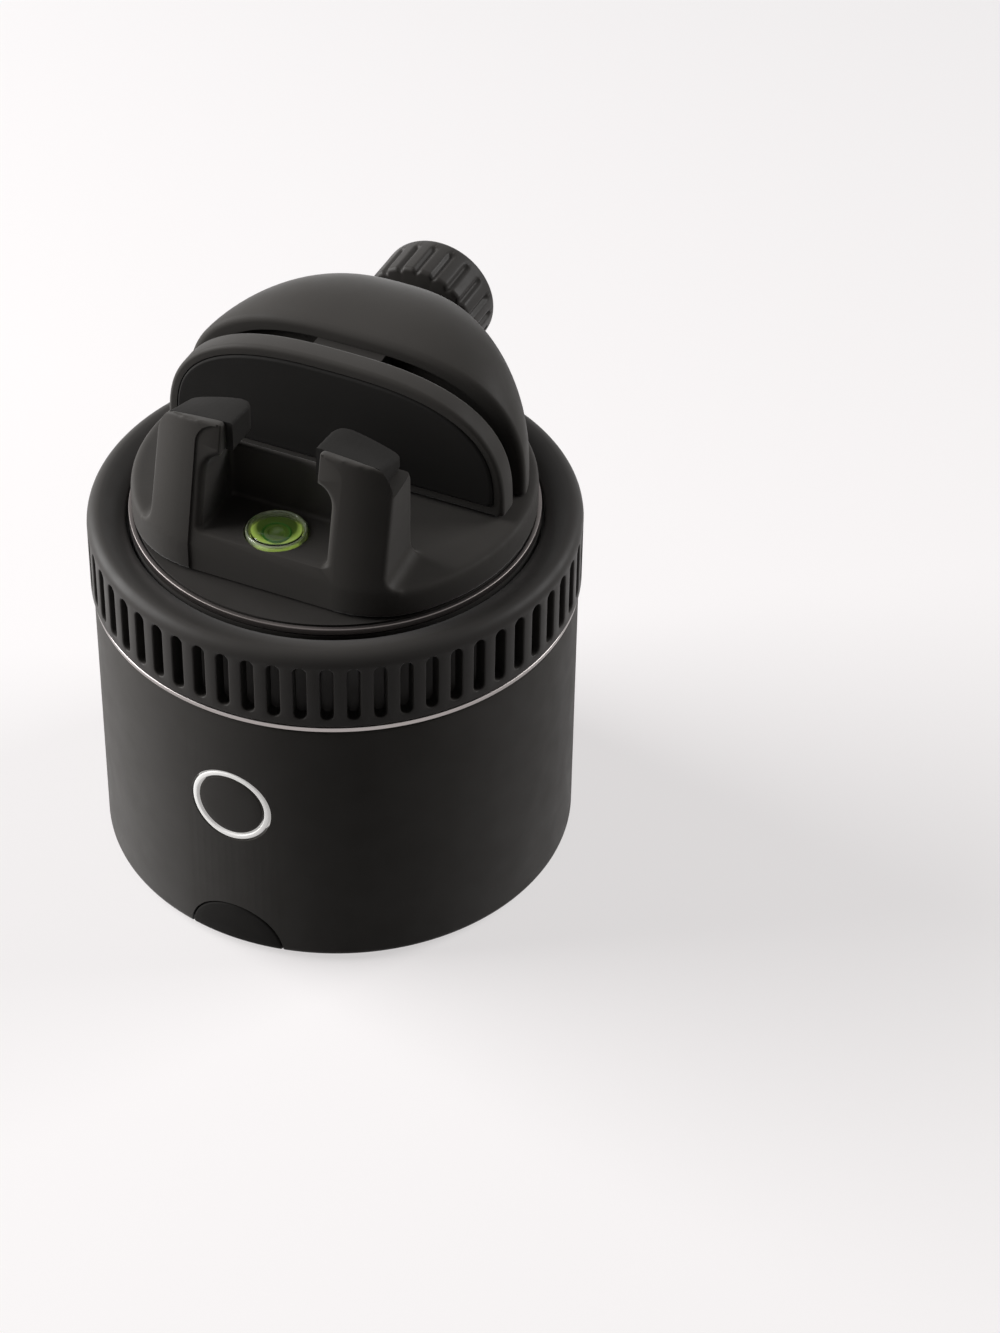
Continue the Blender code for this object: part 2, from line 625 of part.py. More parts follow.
# Charging socket and the half-moon flap over it
socket_front = -flap_inner + 0.7 * MM
socket_low = SOCKET_HEIGHT - SOCKET_SIZE[2] / 2
socket_high = SOCKET_HEIGHT + SOCKET_SIZE[2] / 2
socket = block(
    (-SOCKET_SIZE[0] / 2, socket_front, socket_low),
    (SOCKET_SIZE[0] / 2, socket_front + SOCKET_SIZE[1], socket_high),
)
usb_socket = add("usb_socket", socket, FINISHES["steel"])
shell_wall = 0.4 * MM
mouth = block(
    (-SOCKET_SIZE[0] / 2 + shell_wall, -BASE_RADIUS, socket_low + shell_wall),
    (SOCKET_SIZE[0] / 2 - shell_wall, socket_front + SOCKET_SIZE[1] - 1 * MM, socket_high - shell_wall),
)
boolean(usb_socket, shape("socket_mouth", mouth))

flap = round_about_y(FLAP_RADIUS, outside, -BASE_RADIUS + 5 * MM, FLAP_CENTRE_HEIGHT, 28)
port_cover = add("port_cover", flap, FINISHES["rubber"], flap_axis)
flap_shell = tube(flap_inner, BASE_RADIUS, FLAP_BOTTOM, 15 * MM, ROUND_STEPS)
boolean(port_cover, shape("flap_shell", flap_shell), "INTERSECT")

# Main board, battery and motor
board = tube(BOARD_HOLE, BOARD_RADIUS, BOARD_HEIGHT, BOARD_HEIGHT + BOARD_THICKNESS, 24)
circuit_board = add("circuit_board", board, FINISHES["board_green"])
notch_top = BOARD_HEIGHT + 2 * BOARD_THICKNESS
notches = block(
    (-PORT_BOSS_SIZE[0] / 2 - GAP, -BASE_RADIUS, 0),
    (PORT_BOSS_SIZE[0] / 2 + GAP, boss_back + GAP, notch_top),
)
for angle in THIRDS:
    notch = disc(POST_RADIUS + GAP, 0, notch_top, POST_STEPS)
    join(notches, moved(notch, *on_circle(COVER_SCREW_CIRCLE, angle)))
boolean(circuit_board, shape("board_notches", notches))

battery_bottom = BOARD_HEIGHT + BOARD_THICKNESS + GAP
half_thick = BATTERY_SIZE[1] / 2
half_wide = BATTERY_SIZE[0] / 2 - half_thick
cell = arc((half_wide, BATTERY_BACK_OFFSET), half_thick, -90, 90, 6)
cell += arc((-half_wide, BATTERY_BACK_OFFSET), half_thick, 90, 270, 6)
add("battery_cell", prism(cell, battery_bottom, battery_bottom + BATTERY_SIZE[2]), FINISHES["battery_wrap"])

motor_top = deck_under - GAP
motor_bottom = motor_top - MOTOR_LENGTH
motor_bore = MOTOR_SHAFT + GAP
motor_profile = [
    (motor_bore, motor_bottom), (MOTOR_RADIUS, motor_bottom), (MOTOR_RADIUS, motor_top),
    (MOTOR_BOSS, motor_top), (MOTOR_BOSS, BASE_TOP), (motor_bore, BASE_TOP),
]
motor_place = (-motor_distance, 0, 0)
motor_body = add("motor_body", turned(motor_profile, 16), FINISHES["steel"], location=motor_place)
motor_screw_top = BASE_TOP + GAP + MOTOR_SCREW_HEAD * HEAD_SHARE
motor_screw_tip = motor_screw_top - MOTOR_SCREW_LENGTH
screw_sockets = bmesh.new()
for side in LEFT_TO_RIGHT:
    hole = drilling(MOTOR_SCREW_RADIUS + GAP, motor_screw_tip - GAP, motor_top + 1 * MM)
    join(screw_sockets, moved(hole, -motor_distance, side * MOTOR_SCREW_OFFSET))
boolean(motor_body, shape("motor_screw_sockets", screw_sockets))
for number, side in enumerate(LEFT_TO_RIGHT, 1):
    place = (-motor_distance, side * MOTOR_SCREW_OFFSET, motor_screw_top)
    screw(f"motor_screw_{number}", MOTOR_SCREW_HEAD, MOTOR_SCREW_RADIUS, MOTOR_SCREW_LENGTH,
          location=place, rotation=(math.pi, 0, 0))

# Drive gear and pinion, in mesh between the deck and the turret's web
gear_bottom = trim_top + 0.9 * MM
gear_top = gear_bottom + GEAR_FACE


def gear_outline(teeth, phase):
    """Involute teeth with a pressure angle of 20 degrees, thinned by the backlash."""
    pressure = math.radians(20)
    pitch = GEAR_MODULE * teeth / 2
    base = pitch * math.cos(pressure)
    root = pitch - 1.25 * GEAR_MODULE
    tip = pitch + 0.85 * GEAR_MODULE
    half_tooth = math.pi / (2 * teeth) - GEAR_BACKLASH / (4 * pitch)
    involute = math.tan(pressure) - pressure
    flank = [(root, half_tooth + involute)]
    for radius in (pitch, tip):
        turn = math.acos(base / radius)
        flank.append((radius, half_tooth + involute - (math.tan(turn) - turn)))
    outline = []
    for tooth in range(teeth):
        centre = phase + math.tau * tooth / teeth
        side = [(radius, centre - angle) for radius, angle in flank]
        side += [(radius, centre + angle) for radius, angle in reversed(flank)]
        outline += [(radius * math.cos(angle), radius * math.sin(angle)) for radius, angle in side]
    return outline


gear = prism(gear_outline(GEAR_TEETH, 0), gear_bottom, gear_top)
drive_gear = add("drive_gear", gear, FINISHES["gear_white"], head_axis)
gear_hub = disc(GEAR_HUB, gear_top - 1 * MM, WEB_BOTTOM - GAP, 20)
boolean(drive_gear, shape("gear_hub", gear_hub), "UNION")
boolean(drive_gear, shape("gear_bore", disc(SPINDLE_RADIUS + GAP, BASE_TOP, WEB_TOP, 20)))

pinion_teeth = gear_outline(PINION_TEETH, math.pi / PINION_TEETH)
pinion = prism(pinion_teeth, gear_bottom - 0.2 * MM, gear_top + 0.2 * MM)
drive_pinion = add("drive_pinion", pinion, FINISHES["brass"], pinion_axis, motor_place)
pinion_bore = moved(drilling(MOTOR_SHAFT + GAP, BASE_TOP, WEB_TOP, steps=16), *motor_place)
boolean(drive_pinion, shape("pinion_bore", pinion_bore))
motor_shaft = disc(MOTOR_SHAFT, motor_bottom - 1 * MM, gear_top + 0.3 * MM, 16)
add("motor_shaft", motor_shaft, FINISHES["steel"], pinion_axis, motor_place)

# Ball bearing in the deck
outer_bore = BEARING_RADIUS - RACE_THICKNESS
inner_bore = SPINDLE_RADIUS + GAP
inner_outer = inner_bore + RACE_THICKNESS - 0.1 * MM
ball_circle = (outer_bore + inner_outer) / 2
ball_height = (bearing_top + bearing_bottom) / 2
outer_race = tube(outer_bore, BEARING_RADIUS, bearing_bottom, bearing_top, 20)
add("bearing_outer_race", outer_race, FINISHES["steel"])
inner_race = tube(inner_bore, inner_outer, bearing_bottom, bearing_top, 20)
add("bearing_inner_race", inner_race, FINISHES["steel"], head_axis)
cage_half = 0.4 * MM
cage_rise = 0.6 * MM
cage_bottom = ball_height - cage_rise
cage = tube(ball_circle - cage_half, ball_circle + cage_half, cage_bottom, ball_height + cage_rise, 16)
bearing_cage = add("bearing_cage", cage, FINISHES["brass"], cage_axis)
balls = bmesh.new()
for number in range(BALL_COUNT):
    x, y = on_circle(ball_circle, 360 * number / BALL_COUNT)
    centre = Matrix.Translation((x, y, ball_height))
    bmesh.ops.create_uvsphere(balls, u_segments=8, v_segments=4, radius=BALL_RADIUS, matrix=centre)
boolean(bearing_cage, shape("balls", balls), "UNION")

# Spindle: a flanged sleeve from the turret's web down through the bearing, kept by a clip
clip_top = bearing_bottom - 0.2 * MM
clip_bottom = clip_top - 0.8 * MM
spindle_bottom = clip_bottom - 1.2 * MM
flange_bottom = WEB_TOP + GAP
flange_top = flange_bottom + 1.4 * MM
groove_radius = SPINDLE_RADIUS - 0.7 * MM
groove_low = clip_bottom - GAP
groove_high = clip_top + 0.1 * MM
spindle_profile = [
    (SPINDLE_BORE, spindle_bottom), (SPINDLE_RADIUS, spindle_bottom), (SPINDLE_RADIUS, groove_low),
    (groove_radius, groove_low), (groove_radius, groove_high), (SPINDLE_RADIUS, groove_high),
    (SPINDLE_RADIUS, flange_bottom), (SPINDLE_FLANGE, flange_bottom), (SPINDLE_FLANGE, flange_top),
    (SPINDLE_BORE, flange_top),
]
add("spindle", turned(spindle_profile, 20), FINISHES["steel"], head_axis)
clip = tube(groove_radius + GAP, SPINDLE_RADIUS + 1.2 * MM, clip_bottom, clip_top, 20)
spindle_clip = add("spindle_clip", clip, FINISHES["steel"], head_axis)
clip_mouth = block((-2.4 * MM, -12 * MM, clip_bottom - 1 * MM), (2.4 * MM, -2 * MM, clip_top + 1 * MM))
boolean(spindle_clip, shape("clip_mouth", clip_mouth))

# Turret ring: outer wall with upright slots, a rounded shoulder, a dished top and a web to the spindle
turret_bottom = trim_top + GAP
shoulder_centre = (TURRET_RADIUS - TURRET_SHOULDER, TURRET_TOP - TURRET_SHOULDER)
turret_inside = TURRET_RADIUS - TURRET_WALL
dish_start = shoulder_centre[0] - 0.9 * MM
turret_profile = (
    [(turret_inside, turret_bottom), (TURRET_RADIUS, turret_bottom)]
    + arc(shoulder_centre, TURRET_SHOULDER, 0, 90, 4)
    + [(dish_start, TURRET_TOP - 0.1 * MM), (TURRET_INNER, TURRET_TOP - TURRET_DIP)]
    + [(TURRET_INNER, WEB_TOP), (inner_bore, WEB_TOP)]
    + [(inner_bore, WEB_BOTTOM), (turret_inside, WEB_BOTTOM)]
)
turret_ring = add("turret_ring", turned(turret_profile, SLOT_COUNT), FINISHES["satin_black"], head_axis)
slot_half = SLOT_WIDTH / 2
slot_outline = arc((0, SLOT_TOP - slot_half), slot_half, 0, 180, 3)
slot_outline += arc((0, SLOT_BOTTOM + slot_half), slot_half, 180, 360, 3)
slots = bmesh.new()
for number in range(SLOT_COUNT):
    slot = along_y(slot_outline, -TURRET_RADIUS - 1 * MM, -TURRET_RADIUS + SLOT_DEPTH)
    turn = Matrix.Rotation(math.tau * (number + 0.5) / SLOT_COUNT, 3, "Z")
    bmesh.ops.rotate(slot, verts=slot.verts, matrix=turn)
    join(slots, slot)
boolean(turret_ring, shape("slots", slots))

# Head plate and its silver rim
rim_bottom = PLATE_TOP - RIM_HEIGHT - 0.1 * MM
rim_seat = RIM_RADIUS - RIM_WIDTH - GAP
plate_profile = [
    (0, flange_top + GAP), (SPINDLE_FLANGE + GAP, flange_top + GAP), (SPINDLE_FLANGE + GAP, WEB_TOP + GAP),
    (RIM_RADIUS, WEB_TOP + GAP), (RIM_RADIUS, rim_bottom - GAP), (rim_seat, rim_bottom - GAP),
    (rim_seat, PLATE_TOP), (0, PLATE_TOP),
]
head_plate = add("head_plate", turned(plate_profile, ROUND_STEPS), FINISHES["satin_black"], head_axis)
rim_ring = tube(RIM_RADIUS - RIM_WIDTH, RIM_RADIUS, rim_bottom, rim_bottom + RIM_HEIGHT, ROUND_STEPS)
add("head_trim_ring", rim_ring, FINISHES["silver"], head_axis)

head_bottom = PLATE_TOP + GAP
head_screw_top = TRAY_FLOOR - 1.4 * MM
head_screw_start = WEB_BOTTOM - GAP - HEAD_SCREW_HEAD * HEAD_SHARE
web_holes = bmesh.new()
for angle in THIRDS:
    hole = drilling(HEAD_SCREW_RADIUS + GAP, WEB_BOTTOM - 1 * MM, head_screw_top + GAP)
    join(web_holes, moved(hole, *on_circle(HEAD_SCREW_CIRCLE, angle)))
head_screw_holes = shape("head_screw_holes", web_holes)
boolean(turret_ring, head_screw_holes)
boolean(head_plate, head_screw_holes)
for number, angle in enumerate(THIRDS, 1):
    place = (*on_circle(HEAD_SCREW_CIRCLE, angle), head_screw_start)
    screw(f"head_screw_{number}", HEAD_SCREW_HEAD, HEAD_SCREW_RADIUS, head_screw_top - head_screw_start,
          axis=head_axis, location=place)


def head_outline(radius, flat, corner):
    """A circle cut by a flat in front, with rounded corners, counter-clockwise from the right corner."""
    inset = radius - corner
    corner_y = -flat + corner
    corner_x = math.sqrt(inset**2 - corner_y**2)
    reach = math.degrees(math.atan2(corner_y, corner_x))
    right = arc((corner_x, corner_y), corner, -90, reach, 6)
    around = arc((0, 0), radius, reach, 180 - reach, 36)[1:-1]
    left = arc((-corner_x, corner_y), corner, 180 - reach, 270, 6)
    return right + around + left


# Head body: the tray, the ledge with the level's seat, the wall behind it and the two hooks
outline_at = [(head_bottom, 0.0), (TRAY_FLOOR - HEAD_RIM_ROUND, 0.0)]
outline_at += [(TRAY_FLOOR - HEAD_RIM_ROUND * 0.3, HEAD_RIM_ROUND * 0.3), (TRAY_FLOOR, HEAD_RIM_ROUND)]
tray_loops = []
for height, inset in outline_at:
    outline = head_outline(HEAD_RADIUS - inset, HEAD_FLAT - inset, HEAD_FLAT_CORNER)
    tray_loops.append([(x, y, height) for x, y in outline])
head_body = add("head_body", loft(tray_loops), FINISHES["soft_black"], head_axis)


def between(pair, share):
    """The value a share of the way from a pair's first to its second."""
    return pair[0] + (pair[1] - pair[0]) * share


def crown_height(x, share):
    """Top of a hook's finger: nearly level in front, and falling outwards at the back as the dome does."""
    outwards = max(x - HOOK_TIP, 0) / HOOK_CROWN_REACH
    return HOOK_TOP - HOOK_CROWN_FALL * share - between(HOOK_CROWN_DROPS, share) * outwards**1.5


def hook_outline(outer, share):
    """The right hook from the front, as (x, z): tip, crown, shoulder, leg, foot and the round underside."""
    shoulder = between(HOOK_SHOULDERS, share)
    lean = math.atan(1.4 * between(HOOK_CROWN_DROPS, share) / HOOK_CROWN_REACH)
    crown_end = outer - shoulder * (1 - math.sin(lean))
    shoulder_z = crown_height(crown_end, share) - shoulder * math.cos(lean)
    crown_span = crown_end - HOOK_TIP
    crown_steps = (HOOK_TIP + 0.6 * MM, HOOK_TIP + crown_span * 0.35, HOOK_TIP + crown_span * 0.7)
    foot_z = TRAY_FLOOR - HEAD_RIM_ROUND * 1.5
    return (
        [(HOOK_TIP, HOOK_UNDERSIDE + 0.4 * MM), (HOOK_TIP, crown_height(HOOK_TIP, share) - 0.6 * MM)]
        + [(x, crown_height(x, share)) for x in crown_steps]
        + arc((outer - shoulder, shoulder_z), shoulder, 90 - math.degrees(lean), 0, 4)
        + arc((outer + HOOK_FOOT_FILLET, TRAY_FLOOR + HOOK_FOOT_FILLET), HOOK_FOOT_FILLET, 180, 270, 3)
        + [(outer + HOOK_FOOT_FILLET, foot_z), (POCKET_HALF, foot_z)]
        + arc((POCKET_HALF - HOOK_FILLET, HOOK_UNDERSIDE - HOOK_FILLET), HOOK_FILLET, 0, 90, 5)
    )


hook_back = -HEAD_FLAT + POCKET_DEPTH + LIP_WALL
hook_front = -HEAD_RADIUS - 1 * MM
taper_per_metre = (HOOK_OUTER_FRONT - HOOK_OUTER_BACK) / (hook_back + HEAD_FLAT)
hooks = bmesh.new()
for side in LEFT_TO_RIGHT:
    loops = []
    for y, share in ((hook_front, 0), (HOOK_CROWN_FRONT, 0), (hook_back, 1)):
        outer = HOOK_OUTER_BACK + taper_per_metre * (hook_back - y)
        loops.append([(side * x, y, z) for x, z in hook_outline(outer, share)])
    hook = loft(loops)
    bmesh.ops.recalc_face_normals(hook, faces=hook.faces)
    join(hooks, hook)
hook_pair = shape("hook_pair", hooks)

envelope_top = HOOK_TOP + 2 * MM
rise = envelope_top - TRAY_FLOOR
envelope_loops = [
    [(x, y, height) for x, y in head_outline(radius, flat, HEAD_FLAT_CORNER)]
    for height, radius, flat in (
        (TRAY_FLOOR - 2 * MM, HEAD_RADIUS - HOOK_SETBACK, HEAD_FLAT - HOOK_SETBACK),
        (TRAY_FLOOR, HEAD_RADIUS - HOOK_SETBACK, HEAD_FLAT - HOOK_SETBACK),
        (envelope_top, HEAD_RADIUS - HOOK_TAPER * rise, HEAD_FLAT - HOOK_LEAN * rise),
    )
]
boolean(hook_pair, shape("head_envelope", loft(envelope_loops)), "INTERSECT")
pad_seat = block(
    (-BASE_RADIUS, FINGER_BACK, HOOK_UNDERSIDE - GAP), (BASE_RADIUS, hook_back + 5 * MM, HOOK_TOP + 2 * MM)
)
boolean(hook_pair, shape("pad_seat", pad_seat))
boolean(head_body, hook_pair, "UNION")

front_step = block(
    (-SEAM_HALF, -HEAD_RADIUS, PLATE_TOP - 1 * MM),
    (SEAM_HALF, -HEAD_FLAT + SEAM_STEP, LEDGE_TOP + 0.5 * MM),
)
boolean(head_body, shape("front_step", front_step))
ledge_foot = TRAY_FLOOR - HEAD_RIM_ROUND * 2
ledge = block(
    (-POCKET_HALF - 1 * MM, -HEAD_FLAT + SEAM_STEP + 0.1 * MM, ledge_foot),
    (POCKET_HALF + 1 * MM, hook_back - 0.5 * MM, LEDGE_TOP),
)
ledge_block = shape("ledge", ledge)
bevel = ledge_block.modifiers.new("front_edge", "BEVEL")
bevel.width = 0.5 * MM
bevel.segments = 2
bevel.limit_method = "ANGLE"
boolean(head_body, ledge_block, "UNION")
wall_back = hook_back - 0.15 * MM
wall = block(
    (-POCKET_HALF - 1 * MM, wall_back - LIP_WALL, ledge_foot),
    (POCKET_HALF + 1 * MM, wall_back, LIP_WALL_TOP),
)
boolean(head_body, shape("lip_wall", wall), "UNION")
level_bottom = LEDGE_TOP - LEVEL_DEPTH
level_seat = moved(disc(LEVEL_RADIUS + GAP, level_bottom - GAP, LEDGE_TOP + 5 * MM, 24), *level_place)
boolean(head_body, shape("level_seat", level_seat))
boolean(head_body, head_screw_holes)

dome_screw_start = head_bottom + GAP
counter_top = dome_screw_start + DOME_SCREW_HEAD * HEAD_SHARE + GAP
dome_drills = bmesh.new()
for x, y in DOME_SCREW_PLACES:
    hole = drilling(DOME_SCREW_RADIUS + GAP, head_bottom - 1 * MM, DOME_SCREW_TOP + GAP,
                    DOME_SCREW_HEAD + GAP, counter_top)
    join(dome_drills, moved(hole, x, y))
dome_drilling = shape("dome_drilling", dome_drills)
boolean(head_body, dome_drilling)
for number, (x, y) in enumerate(DOME_SCREW_PLACES, 1):
    screw(f"dome_screw_{number}", DOME_SCREW_HEAD, DOME_SCREW_RADIUS, DOME_SCREW_TOP - dome_screw_start,
          axis=head_axis, location=(x, y, dome_screw_start))

# Rubber pads behind the fingers
pad_back = hook_back + PAD_PROUD
pad_end = HOOK_OUTER_BACK - PAD_END_STEP
pad_tip = HOOK_TIP - PAD_TIP_PROUD
pad_span = pad_end - pad_tip


def pad_outline(y, inset):
    """A pad's outline at a depth y, as (x, z), drawn in by an inset: rounded tip, crown and outer end."""
    share = (y - HOOK_CROWN_FRONT) / (hook_back - HOOK_CROWN_FRONT)
    tip = pad_tip + inset
    end = pad_end - inset
    floor = HOOK_UNDERSIDE + inset
    outline = [(tip, floor + 0.8 * MM), (tip, crown_height(tip, share) - inset - 1.0 * MM)]
    outline += [(tip + 0.3 * MM, crown_height(tip, share) - inset - 0.3 * MM)]
    for along in (0.12, 0.35, 0.6, 0.84):
        x = pad_tip + pad_span * along
        outline.append((x, crown_height(x, share) - inset - 0.05 * MM))
    outline += [(end, floor + 1.4 * MM), (end, floor), (tip + 0.8 * MM, floor)]
    return outline


pad_depths = ((FINGER_BACK + GAP, 0), (pad_back - 0.7 * MM, 0), (pad_back, 0.4 * MM))
for side, name in zip(LEFT_TO_RIGHT, ("hook_pad_left", "hook_pad_right")):
    loops = [[(side * x, y, z) for x, z in pad_outline(y, inset)] for y, inset in pad_depths]
    add(name, loft(loops), FINISHES["rubber"], head_axis)

# Bubble level
cup_bore = LEVEL_RADIUS - LEVEL_WALL
cup_floor = level_bottom + LEVEL_WALL
cup_profile = [
    (0, level_bottom), (LEVEL_RADIUS, level_bottom), (LEVEL_RADIUS, LEDGE_TOP + LEVEL_PROUD),
    (cup_bore, LEDGE_TOP + LEVEL_PROUD), (cup_bore, cup_floor), (0, cup_floor),
]
level_axis_place = (*level_place, 0)
add("level_cup", turned(cup_profile, 24), FINISHES["clear"], head_axis, level_axis_place)
liquid_radius = cup_bore - GAP
lens_bottom = LEDGE_TOP - 0.3 * MM
liquid_top = lens_bottom - GAP
bubble_dip = arc((0, liquid_top + 1.0 * MM), 1.6 * MM, -51, -90, 3)
liquid_profile = [(0, cup_floor + GAP), (liquid_radius, cup_floor + GAP)]
liquid_profile += [(liquid_radius, liquid_top), (bubble_dip[0][0] + 0.3 * MM, liquid_top)] + bubble_dip
add("level_liquid", turned(liquid_profile, 20), FINISHES["level_green"], head_axis, level_axis_place)
lens_profile = [
    (0, lens_bottom), (liquid_radius, lens_bottom), (liquid_radius, LEDGE_TOP + 0.25 * MM),
    (liquid_radius * 0.75, LEDGE_TOP + 0.45 * MM), (liquid_radius * 0.4, LEDGE_TOP + 0.6 * MM),
    (0, LEDGE_TOP + 0.65 * MM),
]
add("level_lens", turned(lens_profile, 20), FINISHES["clear"], head_axis, level_axis_place)


dome_length = DOME_REAR - DOME_LIP
dome_foot = TRAY_FLOOR + GAP


def dome_section(y, inset, foot, count):
    """The dome's outline at a depth y, as (x, z), drawn in by an inset, from a foot at or below the tray."""
    along = max(0.0, (y - DOME_LIP) / dome_length)
    half = DOME_HALF * (1 - along**DOME_PLAN_POWER) ** (1 / DOME_PLAN_POWER)
    swell = DOME_HEIGHT + DOME_SWELL * math.sin(math.pi * along)
    top = TRAY_FLOOR + swell * (1 - along**DOME_PROFILE_POWER) ** (1 / DOME_PROFILE_POWER)
    return arch(half - inset, top - inset - foot, foot, DOME_SECTION_POWER, count)


def dome_solid(places, foot=dome_foot, count=24):
    return loft([[(x, y, z) for x, z in dome_section(y, inset, foot, count)] for y, inset in places])


# Dome: a lofted shell with a rounded lip, a bulkhead behind its mouth, and a flat end before the knob
lip_places = [(DOME_LIP, DOME_LIP_ROUND), (DOME_LIP + DOME_LIP_ROUND * 0.3, DOME_LIP_ROUND * 0.3)]
lip_places += [(DOME_LIP + DOME_LIP_ROUND, 0.0)]
body_steps = 9
body_start = DOME_LIP + DOME_LIP_ROUND
body_shares = [1 - (1 - step / body_steps) ** 1.4 for step in range(1, body_steps + 1)]
body_length = DOME_END - body_start
dome_places = lip_places + [(body_start + body_length * share, 0.0) for share in body_shares]
dome_shell = add("dome_shell", dome_solid(dome_places), FINISHES["soft_black"], head_axis)
mouth_back = DOME_LIP + MOUTH_DEPTH
mouth_depths = (DOME_LIP - 1 * MM, DOME_LIP + MOUTH_DEPTH / 2, mouth_back)
mouth_places = [(y, DOME_WALL) for y in mouth_depths]
below_dome = dome_foot - 1 * MM
boolean(dome_shell, shape("dome_mouth", dome_solid(mouth_places, below_dome, 18)))
cavity_front = mouth_back + BULKHEAD
cavity_step = (CAVITY_BACK - cavity_front) / 3
cavity_places = [(cavity_front + cavity_step * step, DOME_WALL) for step in range(4)]
boolean(dome_shell, shape("dome_cavity", dome_solid(cavity_places, below_dome, 14)))
window = block(
    (-TONGUE_HALF - GAP, mouth_back - 1 * MM, TONGUE_BOTTOM - GAP),
    (TONGUE_HALF + GAP, cavity_front + 1 * MM, TONGUE_TOP + GAP),
)
boolean(dome_shell, shape("tongue_window", window))
bush_bore = round_about_y(BUSH_RADIUS + GAP, CAVITY_BACK - 1 * MM, DOME_REAR, SCREW_HEIGHT)
boolean(dome_shell, shape("bush_bore", bush_bore))
boolean(dome_shell, dome_drilling)


def jaw_outline(inset, count=24):
    """The jaw's D-shape, drawn in all round by an inset."""
    foot = TRAY_FLOOR + JAW_CLEARANCE
    corner = 0.8 * MM
    half = JAW_HALF - inset
    low = foot + inset
    points = arch(half, JAW_TOP - inset - low - corner, low + corner, JAW_POWER, count)
    return points + [(-half + corner, low), (half - corner, low)]


# Jaw: D-shaped plate with a rim, its rubber pad, and the tongue that carries the nut
jaw_back = JAW_FRONT + JAW_THICKNESS
jaw_places = [(JAW_FRONT, JAW_EDGE), (JAW_FRONT + JAW_EDGE, 0)]
jaw_places += [(jaw_back - JAW_EDGE, 0), (jaw_back, JAW_EDGE)]
jaw = loft([[(x, y, z) for x, z in jaw_outline(inset)] for y, inset in jaw_places])
pressure_plate = add("pressure_plate", jaw, FINISHES["soft_black"], jaw_axis)
recess_floor = JAW_FRONT + PAD_RECESS
pad_recess = along_y(jaw_outline(JAW_RIM), JAW_FRONT - 2 * MM, recess_floor)
boolean(pressure_plate, shape("pad_recess", pad_recess))
pad_front = JAW_FRONT - PAD_STANDS_OUT
pad_places = ((pad_front, 0.4 * MM), (pad_front + 0.4 * MM, 0), (recess_floor - GAP, 0))
plate_pad = loft([[(x, y, z) for x, z in jaw_outline(JAW_RIM + GAP + inset)] for y, inset in pad_places])
add("plate_pad", plate_pad, FINISHES["rubber"], jaw_axis)

tongue_front = jaw_back + GAP
tongue_back = tongue_front + TONGUE_LENGTH
tongue_outline = [
    (tongue_front, TONGUE_BOTTOM), (tongue_back, TONGUE_BOTTOM), (tongue_back, TONGUE_TOP - TONGUE_STEP),
    (tongue_front + 6 * MM, TONGUE_TOP), (tongue_front, TONGUE_TOP),
]
tongue = across_x(tongue_outline, -TONGUE_HALF, TONGUE_HALF)
plate_carriage = add("plate_carriage", tongue, FINISHES["satin_black"], jaw_axis)
nut_back = tongue_back - 0.5 * MM
nut_front = nut_back - NUT_LENGTH
screw_clearance = SCREW_RADIUS + 0.4 * MM
screw_way = round_about_y(screw_clearance, recess_floor + 0.8 * MM, tongue_back + 1 * MM, SCREW_HEIGHT)
screw_channel = shape("screw_channel", screw_way)
boolean(plate_carriage, screw_channel)
boolean(pressure_plate, screw_channel)


def hexagon(flats):
    """The nut's outline, as (x, z), with two flats level."""
    corners = [on_circle(flats / math.sqrt(3), 60 * side) for side in range(6)]
    return [(x, SCREW_HEIGHT + z) for x, z in corners]


nut_pocket = along_y(hexagon(NUT_FLATS + 2 * GAP), nut_front - GAP, tongue_back + 1 * MM)
boolean(plate_carriage, shape("nut_pocket", nut_pocket))
lead_nut = add("lead_nut", along_y(hexagon(NUT_FLATS), nut_front, nut_back), FINISHES["brass"], jaw_axis)
nut_bore = round_about_y(SCREW_RADIUS + GAP, nut_front - 1 * MM, nut_back + 1 * MM, SCREW_HEIGHT)
boolean(lead_nut, shape("nut_bore", nut_bore))

plate_screw_front = recess_floor + 0.1 * MM
plate_screw_back = plate_screw_front + PLATE_SCREW_LENGTH
counter_back = plate_screw_front + PLATE_SCREW_HEAD * HEAD_SHARE + GAP
plate_drills = bmesh.new()
for height in PLATE_SCREW_HEIGHTS:
    hole = drilling(PLATE_SCREW_RADIUS + GAP, recess_floor - 1 * MM, plate_screw_back + GAP,
                    PLATE_SCREW_HEAD + GAP, counter_back)
    join(plate_drills, about_y(hole, 0, height))
plate_screw_holes = shape("plate_screw_holes", plate_drills)
boolean(pressure_plate, plate_screw_holes)
boolean(plate_carriage, plate_screw_holes)
for number, height in enumerate(PLATE_SCREW_HEIGHTS, 1):
    place = (0, plate_screw_front, height)
    screw(f"plate_screw_{number}", PLATE_SCREW_HEAD, PLATE_SCREW_RADIUS, PLATE_SCREW_LENGTH,
          axis=jaw_axis, location=place, rotation=(-math.pi / 2, 0, 0))

